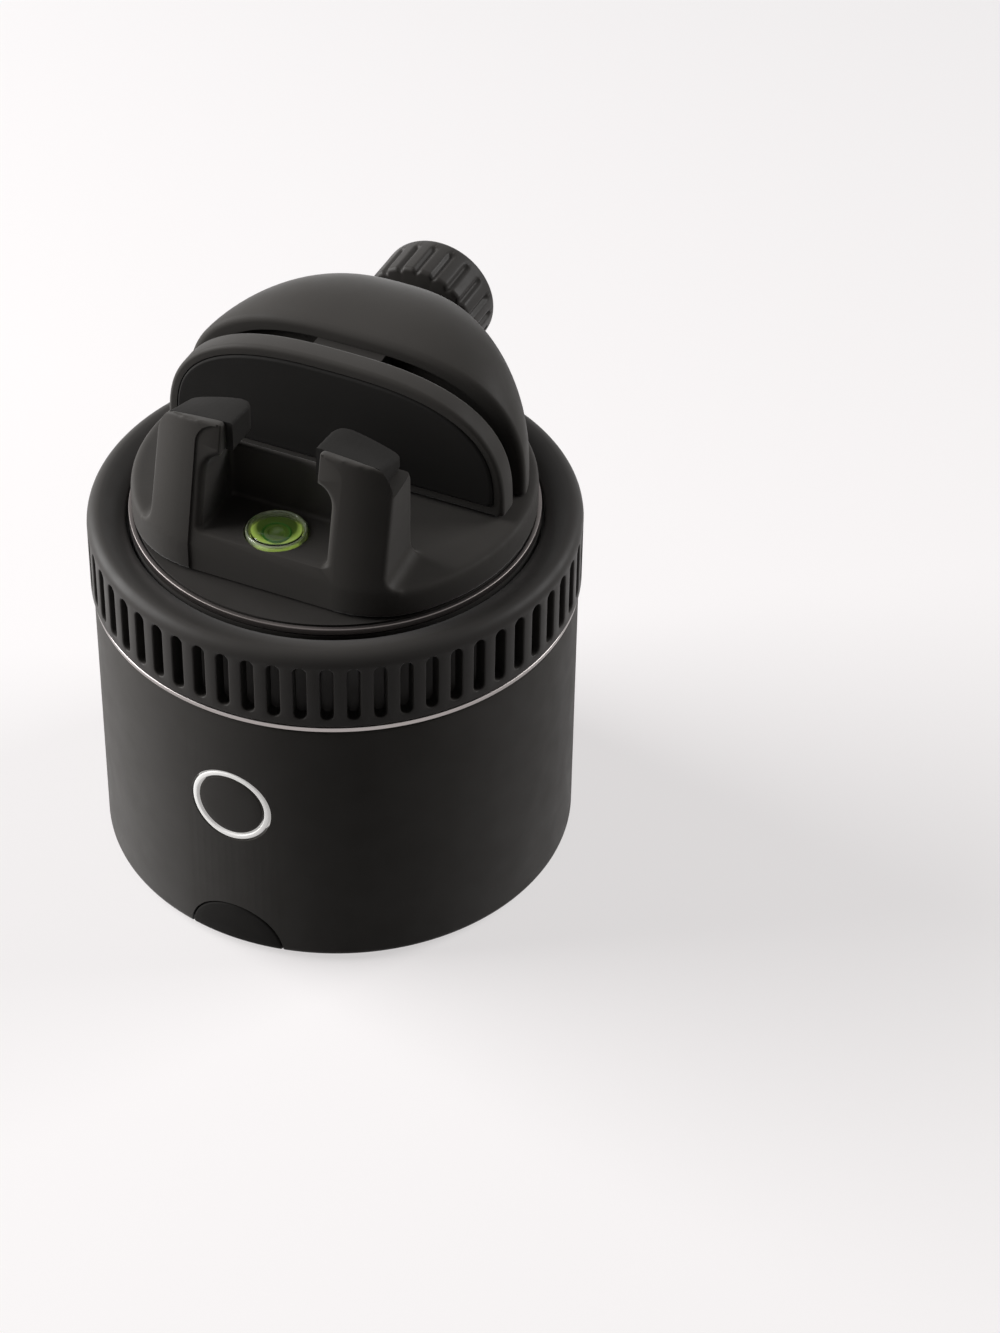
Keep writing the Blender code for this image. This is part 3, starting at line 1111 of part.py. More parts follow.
# Clamp screw, its bush and clip, and the ribbed knob
screw_end = KNOB_START + KNOB_LENGTH - 2.0 * MM
lead_screw = round_about_y(SCREW_RADIUS, SCREW_TIP, screw_end, SCREW_HEIGHT)
add("lead_screw", lead_screw, FINISHES["steel"], knob_axis)
bush_back = DOME_END - 0.2 * MM
bush_front = bush_back - BUSH_LENGTH
bush = about_y(tube(SCREW_RADIUS + GAP, BUSH_RADIUS, 0, BUSH_LENGTH, 20), bush_front, SCREW_HEIGHT)
add("screw_bush", bush, FINISHES["brass"], head_axis)
clip_back = CAVITY_BACK - GAP
clip_ring = tube(SCREW_RADIUS + GAP, CLIP_RADIUS, 0, CLIP_THICKNESS, 20)
screw_clip = about_y(clip_ring, clip_back - CLIP_THICKNESS, SCREW_HEIGHT)
add("screw_clip", screw_clip, FINISHES["steel"], knob_axis)


def knob_outline(outer, depth):
    """Broad ribs round the rim with grooves of a depth between them, as (x, y)."""
    root = outer - depth
    pitch = math.tau / KNOB_RIBS
    points = []
    for rib in range(KNOB_RIBS):
        for share, radius in ((-0.38, root), (-0.26, outer), (0.26, outer), (0.38, root)):
            angle = pitch * (rib + share)
            points.append((radius * math.cos(angle), radius * math.sin(angle)))
    return points


rim_start = KNOB_LENGTH - KNOB_EDGE - KNOB_RIM
knob_levels = [(0, KNOB_EDGE, KNOB_RIB_DEPTH), (KNOB_EDGE, 0, KNOB_RIB_DEPTH)]
knob_levels += [(rim_start - 0.5 * MM, 0, KNOB_RIB_DEPTH), (rim_start, 0, 0)]
knob_levels += [(KNOB_LENGTH - KNOB_EDGE, 0, 0), (KNOB_LENGTH, KNOB_EDGE, 0)]
knob_loops = []
for level, inset, depth in knob_levels:
    knob_loops.append([(x, y, level) for x, y in knob_outline(KNOB_RADIUS - inset, depth)])
knob_solid = loft(knob_loops)
knob = add("knob", about_y(knob_solid, KNOB_START, SCREW_HEIGHT), FINISHES["satin_black"], knob_axis)
knob_bore = round_about_y(SCREW_RADIUS + GAP, KNOB_START - 1 * MM, screw_end + GAP, SCREW_HEIGHT)
boolean(knob, shape("knob_bore", knob_bore))
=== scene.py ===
"""The looks of a motorised phone mount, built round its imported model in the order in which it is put
together: base, drive, turret, head, level, dome, jaw and knob, then the studio. In metres, with +Z up
and the front at -Y."""

import math

import bmesh
import bpy
from mathutils import Matrix, Vector


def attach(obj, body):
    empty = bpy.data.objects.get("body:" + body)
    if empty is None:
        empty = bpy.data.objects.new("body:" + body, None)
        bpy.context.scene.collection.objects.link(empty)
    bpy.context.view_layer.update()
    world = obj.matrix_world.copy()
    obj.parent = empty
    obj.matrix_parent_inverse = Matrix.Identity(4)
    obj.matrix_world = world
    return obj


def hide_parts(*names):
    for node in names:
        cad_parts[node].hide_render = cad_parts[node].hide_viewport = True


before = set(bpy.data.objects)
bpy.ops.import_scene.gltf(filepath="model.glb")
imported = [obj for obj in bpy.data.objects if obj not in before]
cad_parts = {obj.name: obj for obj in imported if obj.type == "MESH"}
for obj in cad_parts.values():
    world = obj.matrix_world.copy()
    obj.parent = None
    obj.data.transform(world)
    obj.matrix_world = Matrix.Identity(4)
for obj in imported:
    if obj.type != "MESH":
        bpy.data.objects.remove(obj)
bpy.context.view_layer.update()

# Base housing. A straight cup of soft-touch black plastic, open below. Its deck carries the bearing and
# the motor, three posts inside take the cover's screws, and its front holds the button and the port.
MM = 0.001
GAP = 0.3 * MM
# A cutter reaches PAST what it cuts, and joined parts reach a BITE into each other
PAST = 1.0 * MM
BITE = 0.5 * MM
BASE_RADIUS = 35.0 * MM
BASE_TOP = 43.4 * MM
BASE_FOOT = 0.5 * MM
BASE_INSIDE = 33.0 * MM
BASE_EDGE = 1.2 * MM
DECK_UNDER = 41.0 * MM
DECK_EDGE = 0.4 * MM
BEARING_SEAT = 11.8 * MM
BEARING_STOP = 10.4 * MM
BEARING_BOSS = 13.6 * MM
SEAT_FLOOR = 38.6 * MM
BOSS_FLOOR = 37.4 * MM
BUTTON_HEIGHT = 27.0 * MM
BUTTON_HOLE = 6.3 * MM
FLAP_CENTRE = 0.4 * MM
FLAP_RADIUS = 7.2 * MM
FLAP_INSIDE = 33.5 * MM
PORT_HALF = 9.5 * MM
PORT_TOP = 9.0 * MM
PORT_BACK = 30.8 * MM
SOCKET_HALF = 4.5 * MM
SOCKET_LOW = 2.5 * MM
SOCKET_HIGH = 5.7 * MM
MOTOR_X = -22.0 * MM
MOTOR_BOSS = 3.3 * MM
MOTOR_SCREW_OFFSET = 5.2 * MM
MOTOR_SCREW_HOLE = 1.3 * MM
SCREW_HOLE = 1.5 * MM
POST_CIRCLE = 29.3 * MM
POST_RADIUS = 2.6 * MM
POST_FOOT = 2.5 * MM
POST_HOLE_TOP = 8.7 * MM
BUTTON_HOLE_DEPTH = 9.0 * MM
RECESS_DEPTH = 6.5 * MM
CUT_HEIGHT = 20.0 * MM
THIRDS = (90, 210, 330)
ROUND = 192
CUT_FRONT = -BASE_RADIUS - 2.0 * MM
SOFT_BLACK = (0.043, 0.0395, 0.036)


def arc(centre, radius, start, end, steps):
    """Points on a round stretch, from one angle to another in degrees."""
    turns = [math.radians(start + (end - start) * step / steps) for step in range(steps + 1)]
    return [(centre[0] + radius * math.cos(turn), centre[1] + radius * math.sin(turn)) for turn in turns]


def spun(profile, steps=ROUND):
    """A closed solid turned about Z from (radius, height) points. One that starts on the axis ends there."""
    bm = bmesh.new()
    verts = [bm.verts.new((radius, 0, height)) for radius, height in profile]
    edges = [bm.edges.new(pair) for pair in zip(verts, verts[1:])]
    if profile[0][0] > 0:
        edges.append(bm.edges.new((verts[-1], verts[0])))
    bmesh.ops.spin(
        bm, geom=verts + edges, axis=(0, 0, 1), cent=(0, 0, 0), angle=math.tau, steps=steps, use_merge=True
    )
    bmesh.ops.remove_doubles(bm, verts=bm.verts, dist=1e-7)
    return bm


def rod(radius, low, high, steps=48):
    return spun([(0, low), (radius, low), (radius, high), (0, high)], steps)


def moved(bm, x=0.0, y=0.0, z=0.0):
    bmesh.ops.translate(bm, verts=bm.verts, vec=(x, y, z))
    return bm


def facing_rear(bm, height, y=0.0):
    """Lays a piece that stands on Z along +Y, at a height and a depth."""
    bmesh.ops.rotate(bm, verts=bm.verts, matrix=Matrix.Rotation(-math.pi / 2, 3, "X"))
    return moved(bm, y=y, z=height)


def box_between(low, high):
    bm = bmesh.new()
    bmesh.ops.create_cube(bm, size=1)
    bmesh.ops.scale(bm, verts=bm.verts, vec=Vector(high) - Vector(low))
    return moved(bm, *((Vector(low) + Vector(high)) / 2))


def added(bm, other):
    """Puts another bmesh's geometry into the first."""
    spare = bpy.data.meshes.new("spare")
    other.to_mesh(spare)
    other.free()
    bm.from_mesh(spare)
    bpy.data.meshes.remove(spare)
    return bm


def on_circle(radius, degrees):
    return radius * math.cos(math.radians(degrees)), radius * math.sin(math.radians(degrees))


def at_thirds(make, radius):
    """Three of a solid on a circle, where the three screws of a ring stand."""
    bm = bmesh.new()
    for degrees in THIRDS:
        added(bm, moved(make(), *on_circle(radius, degrees)))
    return bm


def solid(name, bm):
    bmesh.ops.recalc_face_normals(bm, faces=bm.faces)
    mesh = bpy.data.meshes.new(name)
    bm.to_mesh(mesh)
    bm.free()
    piece = bpy.data.objects.new(name, mesh)
    bpy.context.scene.collection.objects.link(piece)
    return piece


def taken(piece):
    """A piece's mesh as a bmesh, with the piece itself removed."""
    bm = bmesh.new()
    bm.from_mesh(piece.data)
    bpy.data.objects.remove(piece)
    return bm


def settled(piece):
    """Makes the result of a piece's modifiers its mesh."""
    bpy.context.view_layer.update()
    graph = bpy.context.evaluated_depsgraph_get()
    made = bpy.data.meshes.new_from_object(piece.evaluated_get(graph))
    piece.modifiers.clear()
    piece.data = made
    return piece


def carved(piece, bm, operation="DIFFERENCE"):
    """Takes a solid out of a piece, or joins it on."""
    tool = solid("tool", bm)
    modifier = piece.modifiers.new("carve", "BOOLEAN")
    modifier.object = tool
    modifier.operation = operation
    modifier.solver = "EXACT"
    settled(piece)
    bpy.data.objects.remove(tool)
    return piece


def finished(piece, finish, sharp=32):
    """Gives a piece its material, and smooth shading but for edges sharper than an angle in degrees."""
    piece.data.materials.clear()
    piece.data.materials.append(finish)
    piece.data.shade_smooth()
    piece.data.set_sharp_from_angle(angle=math.radians(sharp))
    return piece


def material(name):
    """A new material, its nodes and its shader."""
    made = bpy.data.materials.new(name)
    made.use_nodes = True
    return made, made.node_tree, made.node_tree.nodes["Principled BSDF"]


def fed(node, inputs):
    """Sets a node's inputs, or links them where another node's output is given."""
    for name, value in inputs.items():
        if isinstance(value, bpy.types.NodeSocket):
            node.id_data.links.new(value, node.inputs[name])
        else:
            node.inputs[name].default_value = value
    return node


def new_node(tree, kind, inputs, operation=None):
    made = tree.nodes.new(f"ShaderNode{kind}")
    if operation:
        made.operation = operation
    return fed(made, inputs)


def position(tree):
    return tree.nodes.new("ShaderNodeTexCoord").outputs["Object"]


def noise(tree, vector, scale, detail):
    return new_node(tree, "TexNoise", {"Vector": vector, "Scale": scale, "Detail": detail}).outputs["Fac"]


def ranged(tree, value, low, high, start=0.0, end=1.0):
    """Spreads a value that runs from start to end over low to high."""
    spread = {"Value": value, "From Min": start, "From Max": end, "To Min": low, "To Max": high}
    return new_node(tree, "MapRange", spread).outputs["Result"]


def mixed(tree, share, first, second):
    """A colour that goes from one to another by a share."""
    mix = tree.nodes.new("ShaderNodeMix")
    mix.data_type = "RGBA"
    return fed(mix, {0: share, 6: first, 7: second}).outputs[2]


def shaded(tree, share, colour, dark, light):
    """A colour that runs from a dark shade of itself to a light one."""
    shades = [(*[channel * level for channel in colour], 1) for level in (dark, light)]
    return mixed(tree, share, *shades)


def bumped(tree, height, strength, distance):
    bump = new_node(tree, "Bump", {"Height": height, "Strength": strength, "Distance": distance})
    return bump.outputs["Normal"]


def moulded(name, colour, roughness, grain=0.22 * MM, relief=0.012 * MM, mottle=0.12, polish=0.06,
            shine=0.1, sheen=0.0):
    """Moulded plastic or rubber: faint mottling, an uneven polish, and a fine grain from the mould."""
    made, tree, shader = material(name)
    place = position(tree)
    clouds = noise(tree, place, scale=70, detail=4)
    handling = noise(tree, place, scale=230, detail=6)
    pits = noise(tree, place, scale=1 / grain, detail=2)
    fed(shader, {
        "Base Color": shaded(tree, clouds, colour, 1 - mottle, 1 + mottle),
        "Roughness": ranged(tree, handling, roughness - polish, roughness + polish, start=0.3, end=0.7),
        "Normal": bumped(tree, pits, 0.6, relief),
        "Specular IOR Level": shine,
        "Sheen Weight": sheen,
        "Sheen Roughness": 0.4,
    })
    return made


soft_black = moulded("soft_touch_black", SOFT_BLACK, 0.55, sheen=0.22)
housing_profile = [
    (BASE_INSIDE, BASE_FOOT),
    *arc((BASE_RADIUS - BASE_EDGE, BASE_FOOT + BASE_EDGE), BASE_EDGE, -90, 0, 8),
    *arc((BASE_RADIUS - DECK_EDGE, BASE_TOP - DECK_EDGE), DECK_EDGE, 0, 90, 5),
    (BEARING_SEAT, BASE_TOP), (BEARING_SEAT, SEAT_FLOOR), (BEARING_STOP, SEAT_FLOOR),
    (BEARING_STOP, BOSS_FLOOR), (BEARING_BOSS, BOSS_FLOOR), (BEARING_BOSS, DECK_UNDER),
    (BASE_INSIDE, DECK_UNDER),
]
base_shell = solid("base_shell", spun(housing_profile))
carved(base_shell, at_thirds(lambda: rod(POST_RADIUS, POST_FOOT, DECK_UNDER + PAST), POST_CIRCLE), "UNION")
port_boss = solid("port_boss", box_between(
    (-PORT_HALF, -BASE_RADIUS, BASE_FOOT + GAP), (PORT_HALF, -PORT_BACK, PORT_TOP)
))
carved(port_boss, rod(BASE_INSIDE + BITE, 0, CUT_HEIGHT, ROUND), "INTERSECT")
carved(base_shell, taken(port_boss), "UNION")
carved(base_shell, facing_rear(rod(BUTTON_HOLE, 0, BUTTON_HOLE_DEPTH, 96), BUTTON_HEIGHT, CUT_FRONT))
recess = solid("recess", facing_rear(rod(FLAP_RADIUS + GAP, 0, RECESS_DEPTH, 96), FLAP_CENTRE, CUT_FRONT))
carved(recess, rod(FLAP_INSIDE - GAP, -CUT_HEIGHT / 2, CUT_HEIGHT, ROUND))
carved(base_shell, taken(recess))
carved(base_shell, box_between(
    (-SOCKET_HALF - GAP, CUT_FRONT, SOCKET_LOW - GAP),
    (SOCKET_HALF + GAP, -PORT_BACK + 2 * PAST, SOCKET_HIGH + GAP),
))
deck_holes = moved(rod(MOTOR_BOSS, DECK_UNDER - PAST, BASE_TOP + PAST), x=MOTOR_X)
for side in (-1, 1):
    screw_way = rod(MOTOR_SCREW_HOLE, DECK_UNDER - PAST, BASE_TOP + PAST, 24)
    added(deck_holes, moved(screw_way, MOTOR_X, side * MOTOR_SCREW_OFFSET))
added(deck_holes, at_thirds(lambda: rod(SCREW_HOLE, 0, POST_HOLE_TOP, 24), POST_CIRCLE))
carved(base_shell, deck_holes)
finished(base_shell, soft_black)
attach(base_shell, "base")
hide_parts("base_housing")

# Bottom cover. A disc of satin black plastic that closes the base, held by three screws from below. Its
# boss carries the tripod insert, its stand-offs carry the main board, and a groove holds the foot ring.
COVER_RADIUS = 32.6 * MM
COVER_EDGE = 0.3 * MM
COVER_TOP = 2.2 * MM
INSERT_HOLE = 5.3 * MM
INSERT_BOSS = 7.9 * MM
INSERT_BOSS_TOP = 9.5 * MM
GROOVE_INNER = 21.7 * MM
GROOVE_OUTER = 25.8 * MM
GROOVE_TOP = 1.2 * MM
STANDOFF_CIRCLE = 23.0 * MM
STANDOFF_RADIUS = 2.0 * MM
STANDOFF_TOP = 5.7 * MM
COUNTERBORE = 2.3 * MM
COUNTERBORE_TOP = 1.65 * MM
SCREW_WAY_TOP = 3.2 * MM
PORT_NOTCH_TOP = 4.0 * MM
SATIN_BLACK = (0.036, 0.033, 0.0305)
satin_black = moulded("satin_black", SATIN_BLACK, 0.45, 0.3 * MM, 0.008 * MM, shine=0.14, sheen=0.12)
cover_profile = [
    (INSERT_HOLE, BASE_FOOT), (GROOVE_INNER, BASE_FOOT), (GROOVE_INNER, GROOVE_TOP),
    (GROOVE_OUTER, GROOVE_TOP), (GROOVE_OUTER, BASE_FOOT),
    *arc((COVER_RADIUS - COVER_EDGE, BASE_FOOT + COVER_EDGE), COVER_EDGE, -90, 0, 3),
    (COVER_RADIUS, COVER_TOP), (INSERT_BOSS, COVER_TOP), (INSERT_BOSS, INSERT_BOSS_TOP),
    (INSERT_HOLE, INSERT_BOSS_TOP),
]
cover = solid("bottom_plate", spun(cover_profile))
standoffs = at_thirds(lambda: rod(STANDOFF_RADIUS, COVER_TOP - BITE, STANDOFF_TOP, 32), STANDOFF_CIRCLE)
carved(cover, standoffs, "UNION")
counterbore_profile = [
    (0, -PAST), (COUNTERBORE, -PAST), (COUNTERBORE, COUNTERBORE_TOP),
    (SCREW_HOLE, COUNTERBORE_TOP), (SCREW_HOLE, SCREW_WAY_TOP), (0, SCREW_WAY_TOP),
]
carved(cover, at_thirds(lambda: spun(counterbore_profile, 32), POST_CIRCLE))
carved(cover, box_between(
    (-PORT_HALF - GAP, -BASE_RADIUS, -PAST), (PORT_HALF + GAP, -PORT_BACK + GAP, PORT_NOTCH_TOP)
))
finished(cover, satin_black)
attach(cover, "base")
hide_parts("bottom_cover")

# Cover screws. Three small steel machine screws with a round head and a hexagon socket.
COVER_SCREW_HEAD = 2.0 * MM
COVER_SCREW_RADIUS = 1.2 * MM
COVER_SCREW_BOTTOM = 0.55 * MM
COVER_SCREW_TOP = 7.75 * MM
COVER_SCREW_TIP = 0.3 * MM
COVER_HEAD_HEIGHT = 0.8 * MM
HEAD_ROUND = 0.4 * MM
HEX_SOCKET = 1.0 * MM
HEX_DEPTH = 0.5 * MM
LINE_STRETCH = 40


def metal(name, colour, roughness, lines=9000, unevenness=0.07, relief=0.004 * MM):
    """Turned or brushed metal: fine lines across the axis of turning, and an uneven polish."""
    made, tree, shader = material(name)
    stretch = new_node(tree, "Mapping", {"Vector": position(tree), "Scale": (1, 1, LINE_STRETCH)})
    brushing = noise(tree, stretch.outputs["Vector"], scale=lines / LINE_STRETCH, detail=3)
    fed(shader, {
        "Metallic": 1.0,
        "Base Color": shaded(tree, brushing, colour, 0.86, 1),
        "Roughness": ranged(tree, brushing, roughness - unevenness, roughness + unevenness),
        "Normal": bumped(tree, brushing, 0.5, relief),
    })
    return made


steel = metal("plain_steel", (0.6, 0.59, 0.58), 0.34)
head_top = COVER_SCREW_BOTTOM + COVER_HEAD_HEIGHT
screw_profile = [
    (0, COVER_SCREW_BOTTOM),
    *arc((COVER_SCREW_HEAD - HEAD_ROUND, COVER_SCREW_BOTTOM + HEAD_ROUND), HEAD_ROUND, -90, 0, 5),
    (COVER_SCREW_HEAD, head_top), (COVER_SCREW_RADIUS, head_top),
    (COVER_SCREW_RADIUS, COVER_SCREW_TOP - COVER_SCREW_TIP),
    (COVER_SCREW_RADIUS - COVER_SCREW_TIP, COVER_SCREW_TOP), (0, COVER_SCREW_TOP),
]
for number, degrees in enumerate(THIRDS, 1):
    x, y = on_circle(POST_CIRCLE, degrees)
    cover_screw = solid(f"bottom_screw_{number}", moved(spun(screw_profile, 40), x, y))
    carved(cover_screw, moved(rod(HEX_SOCKET, 0, COVER_SCREW_BOTTOM + HEX_DEPTH, 6), x, y))
    finished(cover_screw, steel)
    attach(cover_screw, "base")
    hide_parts(f"cover_screw_{number}")

# Foot ring. A soft rubber ring pressed into the cover's groove, with two fine treads that grip the table.
FOOT_INNER = 22.0 * MM
FOOT_OUTER = 25.5 * MM
FOOT_TOP = 0.9 * MM
TREAD = 0.35 * MM
TREAD_SHARES = (0.36, 0.64)
CREASE_HALF = 0.2 * MM
CREASE_DEPTH = 0.25 * MM
rubber = moulded("matt_rubber", (0.018, 0.017, 0.016), 0.72, 0.4 * MM, 0.02 * MM, polish=0.05)
foot_profile = [(FOOT_INNER, FOOT_TOP), *arc((FOOT_INNER + TREAD, TREAD), TREAD, 180, 270, 4)]
for share in TREAD_SHARES:
    middle = FOOT_INNER + (FOOT_OUTER - FOOT_INNER) * share
    foot_profile += [(middle - CREASE_HALF, 0), (middle, CREASE_DEPTH), (middle + CREASE_HALF, 0)]
foot_profile += [*arc((FOOT_OUTER - TREAD, TREAD), TREAD, 270, 360, 4), (FOOT_OUTER, FOOT_TOP)]
foot = finished(solid("rubber_foot", spun(foot_profile)), rubber, 50)
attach(foot, "base")
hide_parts("foot_ring")

# Tripod insert. A flanged brass sleeve in the cover's boss, with a quarter-inch thread of 20 to the inch.
THREAD_PITCH = 1.27 * MM
INSERT_BORE = 3.2 * MM
THREAD_DEPTH = 0.45 * MM
INSERT_RADIUS = 5.0 * MM
INSERT_LOW = 0.7 * MM
INSERT_HIGH = 10.8 * MM
INSERT_FLANGE = 6.4 * MM
FLANGE_LOW = 9.8 * MM
THREADS = 7
LEAD_IN = 0.4 * MM
brass = metal("turned_brass", (0.72, 0.53, 0.25), 0.3)
insert_profile = [
    (INSERT_BORE + LEAD_IN, INSERT_LOW), (INSERT_RADIUS, INSERT_LOW), (INSERT_RADIUS, FLANGE_LOW),
    (INSERT_FLANGE, FLANGE_LOW), (INSERT_FLANGE, INSERT_HIGH), (INSERT_BORE, INSERT_HIGH),
]
for thread in reversed(range(THREADS)):
    crest = INSERT_LOW + THREAD_PITCH * (thread + 0.75)
    insert_profile.append((INSERT_BORE - THREAD_DEPTH, crest))
    insert_profile.append((INSERT_BORE, crest - THREAD_PITCH / 2))
insert = finished(solid("thread_insert", spun(insert_profile, 64)), brass)
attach(insert, "base")
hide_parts("tripod_insert")

# Main board, button board and battery. Green fibreglass boards with a lacquered surface and faint copper
# tracks, and a flat lithium cell in a blue-grey sleeve. They are the model's own solids, seen only inside.
TRACK_SCALE = 320


def painted(finish, *solids):
    """Gives a material to the model's own solids."""
    for name in solids:
        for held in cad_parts[name].material_slots:
            held.material = finish


board_green, board_tree, board_shader = material("board_green")
tracks = new_node(board_tree, "TexBrick", {
    "Vector": position(board_tree),
    "Scale": TRACK_SCALE,
    "Color1": (0.03, 0.14, 0.07, 1),
    "Color2": (0.025, 0.12, 0.06, 1),
    "Mortar": (0.06, 0.22, 0.1, 1),
    "Mortar Size": 0.03,
})
fed(board_shader, {
    "Base Color": tracks.outputs["Color"],
    "Roughness": ranged(board_tree, tracks.outputs["Fac"], 0.35, 0.22),
})
painted(board_green, "circuit_board", "button_board")
sleeve = moulded("battery_sleeve", (0.12, 0.16, 0.22), 0.35, grain=1.5 * MM, relief=0.05 * MM)
painted(sleeve, "battery_cell")
painted(steel, "button_switch")

# Charging socket. A stamped steel shell with rounded ends and the contact tongue in its middle.
SOCKET_FRONT = -32.8 * MM
SOCKET_BACK = -25.5 * MM
SHELL_WALL = 0.35 * MM
CONTACT_FRONT = -32.2 * MM
CONTACT_BACK = -26.0 * MM
CONTACT_HALF = 3.3 * MM
CONTACT_LOW = 3.75 * MM
CONTACT_HIGH = 4.45 * MM


def only(kind, geom):
    return [item for item in geom if isinstance(item, kind)]


def pill(half_width, low, high, depth_low, depth_high):
    """A flat-sided tube blank with round ends, along Y."""
    bm = bmesh.new()
    radius = (high - low) / 2
    bmesh.ops.create_circle(bm, cap_ends=True, segments=40, radius=radius)
    for vert in bm.verts:
        vert.co.x += math.copysign(half_width - radius, vert.co.x)
    raised = only(bmesh.types.BMVert, bmesh.ops.extrude_face_region(bm, geom=bm.faces[:])["geom"])
    bmesh.ops.translate(bm, verts=raised, vec=(0, 0, depth_high - depth_low))
    return facing_rear(bm, (low + high) / 2, depth_low)


socket = solid("charging_socket", pill(SOCKET_HALF, SOCKET_LOW, SOCKET_HIGH, SOCKET_FRONT, SOCKET_BACK))
carved(socket, pill(
    SOCKET_HALF - SHELL_WALL, SOCKET_LOW + SHELL_WALL, SOCKET_HIGH - SHELL_WALL,
    SOCKET_FRONT - PAST, SOCKET_BACK - PAST,
))
carved(socket, box_between(
    (-CONTACT_HALF, CONTACT_FRONT, CONTACT_LOW), (CONTACT_HALF, CONTACT_BACK, CONTACT_HIGH)
), "UNION")
finished(socket, steel)
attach(socket, "base")
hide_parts("usb_socket")

# Port cover. A half-moon flap of black rubber that lies flush in the foot of the base's wall, and bends
# down along its lower edge. Its face follows the wall and the wall's rounded foot.
FLAP_BOTTOM = 0.9 * MM
FLAP_EDGE = 0.25 * MM
FLAP_STEP = 1.15 * MM


def follow_wall(bm, flat_behind=-32.5 * MM):
    """Bends what was made flat on the plane of the base's front so that it follows the round wall."""
    for vert in bm.verts:
        if vert.co.y < flat_behind:
            vert.co.y += BASE_RADIUS - math.sqrt(BASE_RADIUS**2 - vert.co.x**2)
    return bm


flap_rings = [(ring * FLAP_STEP, -BASE_RADIUS) for ring in range(6)]
flap_rings += arc((FLAP_RADIUS - FLAP_EDGE, -BASE_RADIUS + FLAP_EDGE), FLAP_EDGE, -90, 0, 4)
flap_rings += [(FLAP_RADIUS, -FLAP_INSIDE)] + [(ring * FLAP_STEP, -FLAP_INSIDE) for ring in range(5, -1, -1)]
flap_mesh = facing_rear(spun(flap_rings, 96), FLAP_CENTRE)
cut = bmesh.ops.bisect_plane(
    flap_mesh, geom=flap_mesh.verts[:] + flap_mesh.edges[:] + flap_mesh.faces[:],
    plane_co=(0, 0, FLAP_BOTTOM), plane_no=(0, 0, 1), clear_inner=True,
)
bmesh.ops.contextual_create(flap_mesh, geom=only(bmesh.types.BMEdge, cut["geom_cut"]))
follow_wall(flap_mesh)
for vert in flap_mesh.verts:
    drop = BASE_FOOT + BASE_EDGE - vert.co.z
    if drop > 0:
        inward = BASE_EDGE - math.sqrt(BASE_EDGE**2 - drop**2)
        vert.co.xy *= 1 - inward / BASE_RADIUS
flap = finished(solid("port_flap_cover", flap_mesh), rubber)
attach(flap, "flap")
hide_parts("port_cover")

# Light ring. A milky acrylic ring flush with the wall round the button, with a flange behind the wall.
RING_INNER = 5.3 * MM
RING_OUTER = 6.0 * MM
RING_FLANGE = 7.4 * MM
RING_EDGE = 0.15 * MM
FLANGE_FRONT = -31.85 * MM
FLANGE_BACK = -30.85 * MM
acrylic = moulded(
    "milky_acrylic", (0.86, 0.85, 0.83), 0.3, 0.6 * MM, 0.004 * MM, mottle=0.03, polish=0.04, shine=0.5
)
ring_profile = [
    (RING_INNER, FLANGE_BACK),
    *arc((RING_INNER + RING_EDGE, -BASE_RADIUS + RING_EDGE), RING_EDGE, 180, 270, 4),
    *arc((RING_OUTER - RING_EDGE, -BASE_RADIUS + RING_EDGE), RING_EDGE, 270, 360, 4),
    (RING_OUTER, FLANGE_FRONT), (RING_FLANGE, FLANGE_FRONT), (RING_FLANGE, FLANGE_BACK),
]
# A faint white glow is painted on the ring with emission, so that it reads brighter than the lamps alone make
# it.
fed(acrylic.node_tree.nodes["Principled BSDF"], {
    "Emission Color": (1, 0.98, 0.96, 1), "Emission Strength": 0.38,
})
light_ring = solid("light_guide", follow_wall(facing_rear(spun(ring_profile, 144), BUTTON_HEIGHT)))
finished(light_ring, acrylic)
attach(light_ring, "base")
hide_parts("light_ring")

# Power button. A soft-touch cap inside the light ring, whose face follows the wall a hair below it. A
# collar behind the ring keeps it in, and a switch on the button board springs it out.
BUTTON_RADIUS = 5.05 * MM
BUTTON_FACE = -34.9 * MM
BUTTON_EDGE = 0.3 * MM
COLLAR_RADIUS = 5.8 * MM
COLLAR_FRONT = -30.55 * MM
BUTTON_BACK = -29.35 * MM
BUTTON_STEP = 0.9 * MM
button_profile = [(ring * BUTTON_STEP, BUTTON_FACE) for ring in range(5)]
button_profile += arc((BUTTON_RADIUS - BUTTON_EDGE, BUTTON_FACE + BUTTON_EDGE), BUTTON_EDGE, -90, 0, 5)
button_profile += [
    (BUTTON_RADIUS, COLLAR_FRONT), (COLLAR_RADIUS, COLLAR_FRONT),
    (COLLAR_RADIUS, BUTTON_BACK), (0, BUTTON_BACK),
]
button = solid("power_key", follow_wall(facing_rear(spun(button_profile, 144), BUTTON_HEIGHT)))
finished(button, soft_black)
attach(button, "button")
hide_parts("power_button")

# Motor, bearing, gears and spindle. Steel can and races, brass pinion and cage, and a gear of natural
# white nylon, all inside the closed base and turret. They are the model's own solids.
nylon = moulded("natural_nylon", (0.74, 0.73, 0.69), 0.45, mottle=0.04)
painted(steel, "motor_body", "motor_shaft", "motor_screw_1", "motor_screw_2", "bearing_outer_race")
painted(steel, "bearing_inner_race", "spindle", "spindle_clip")
painted(brass, "drive_pinion", "bearing_cage")
painted(nylon, "drive_gear")

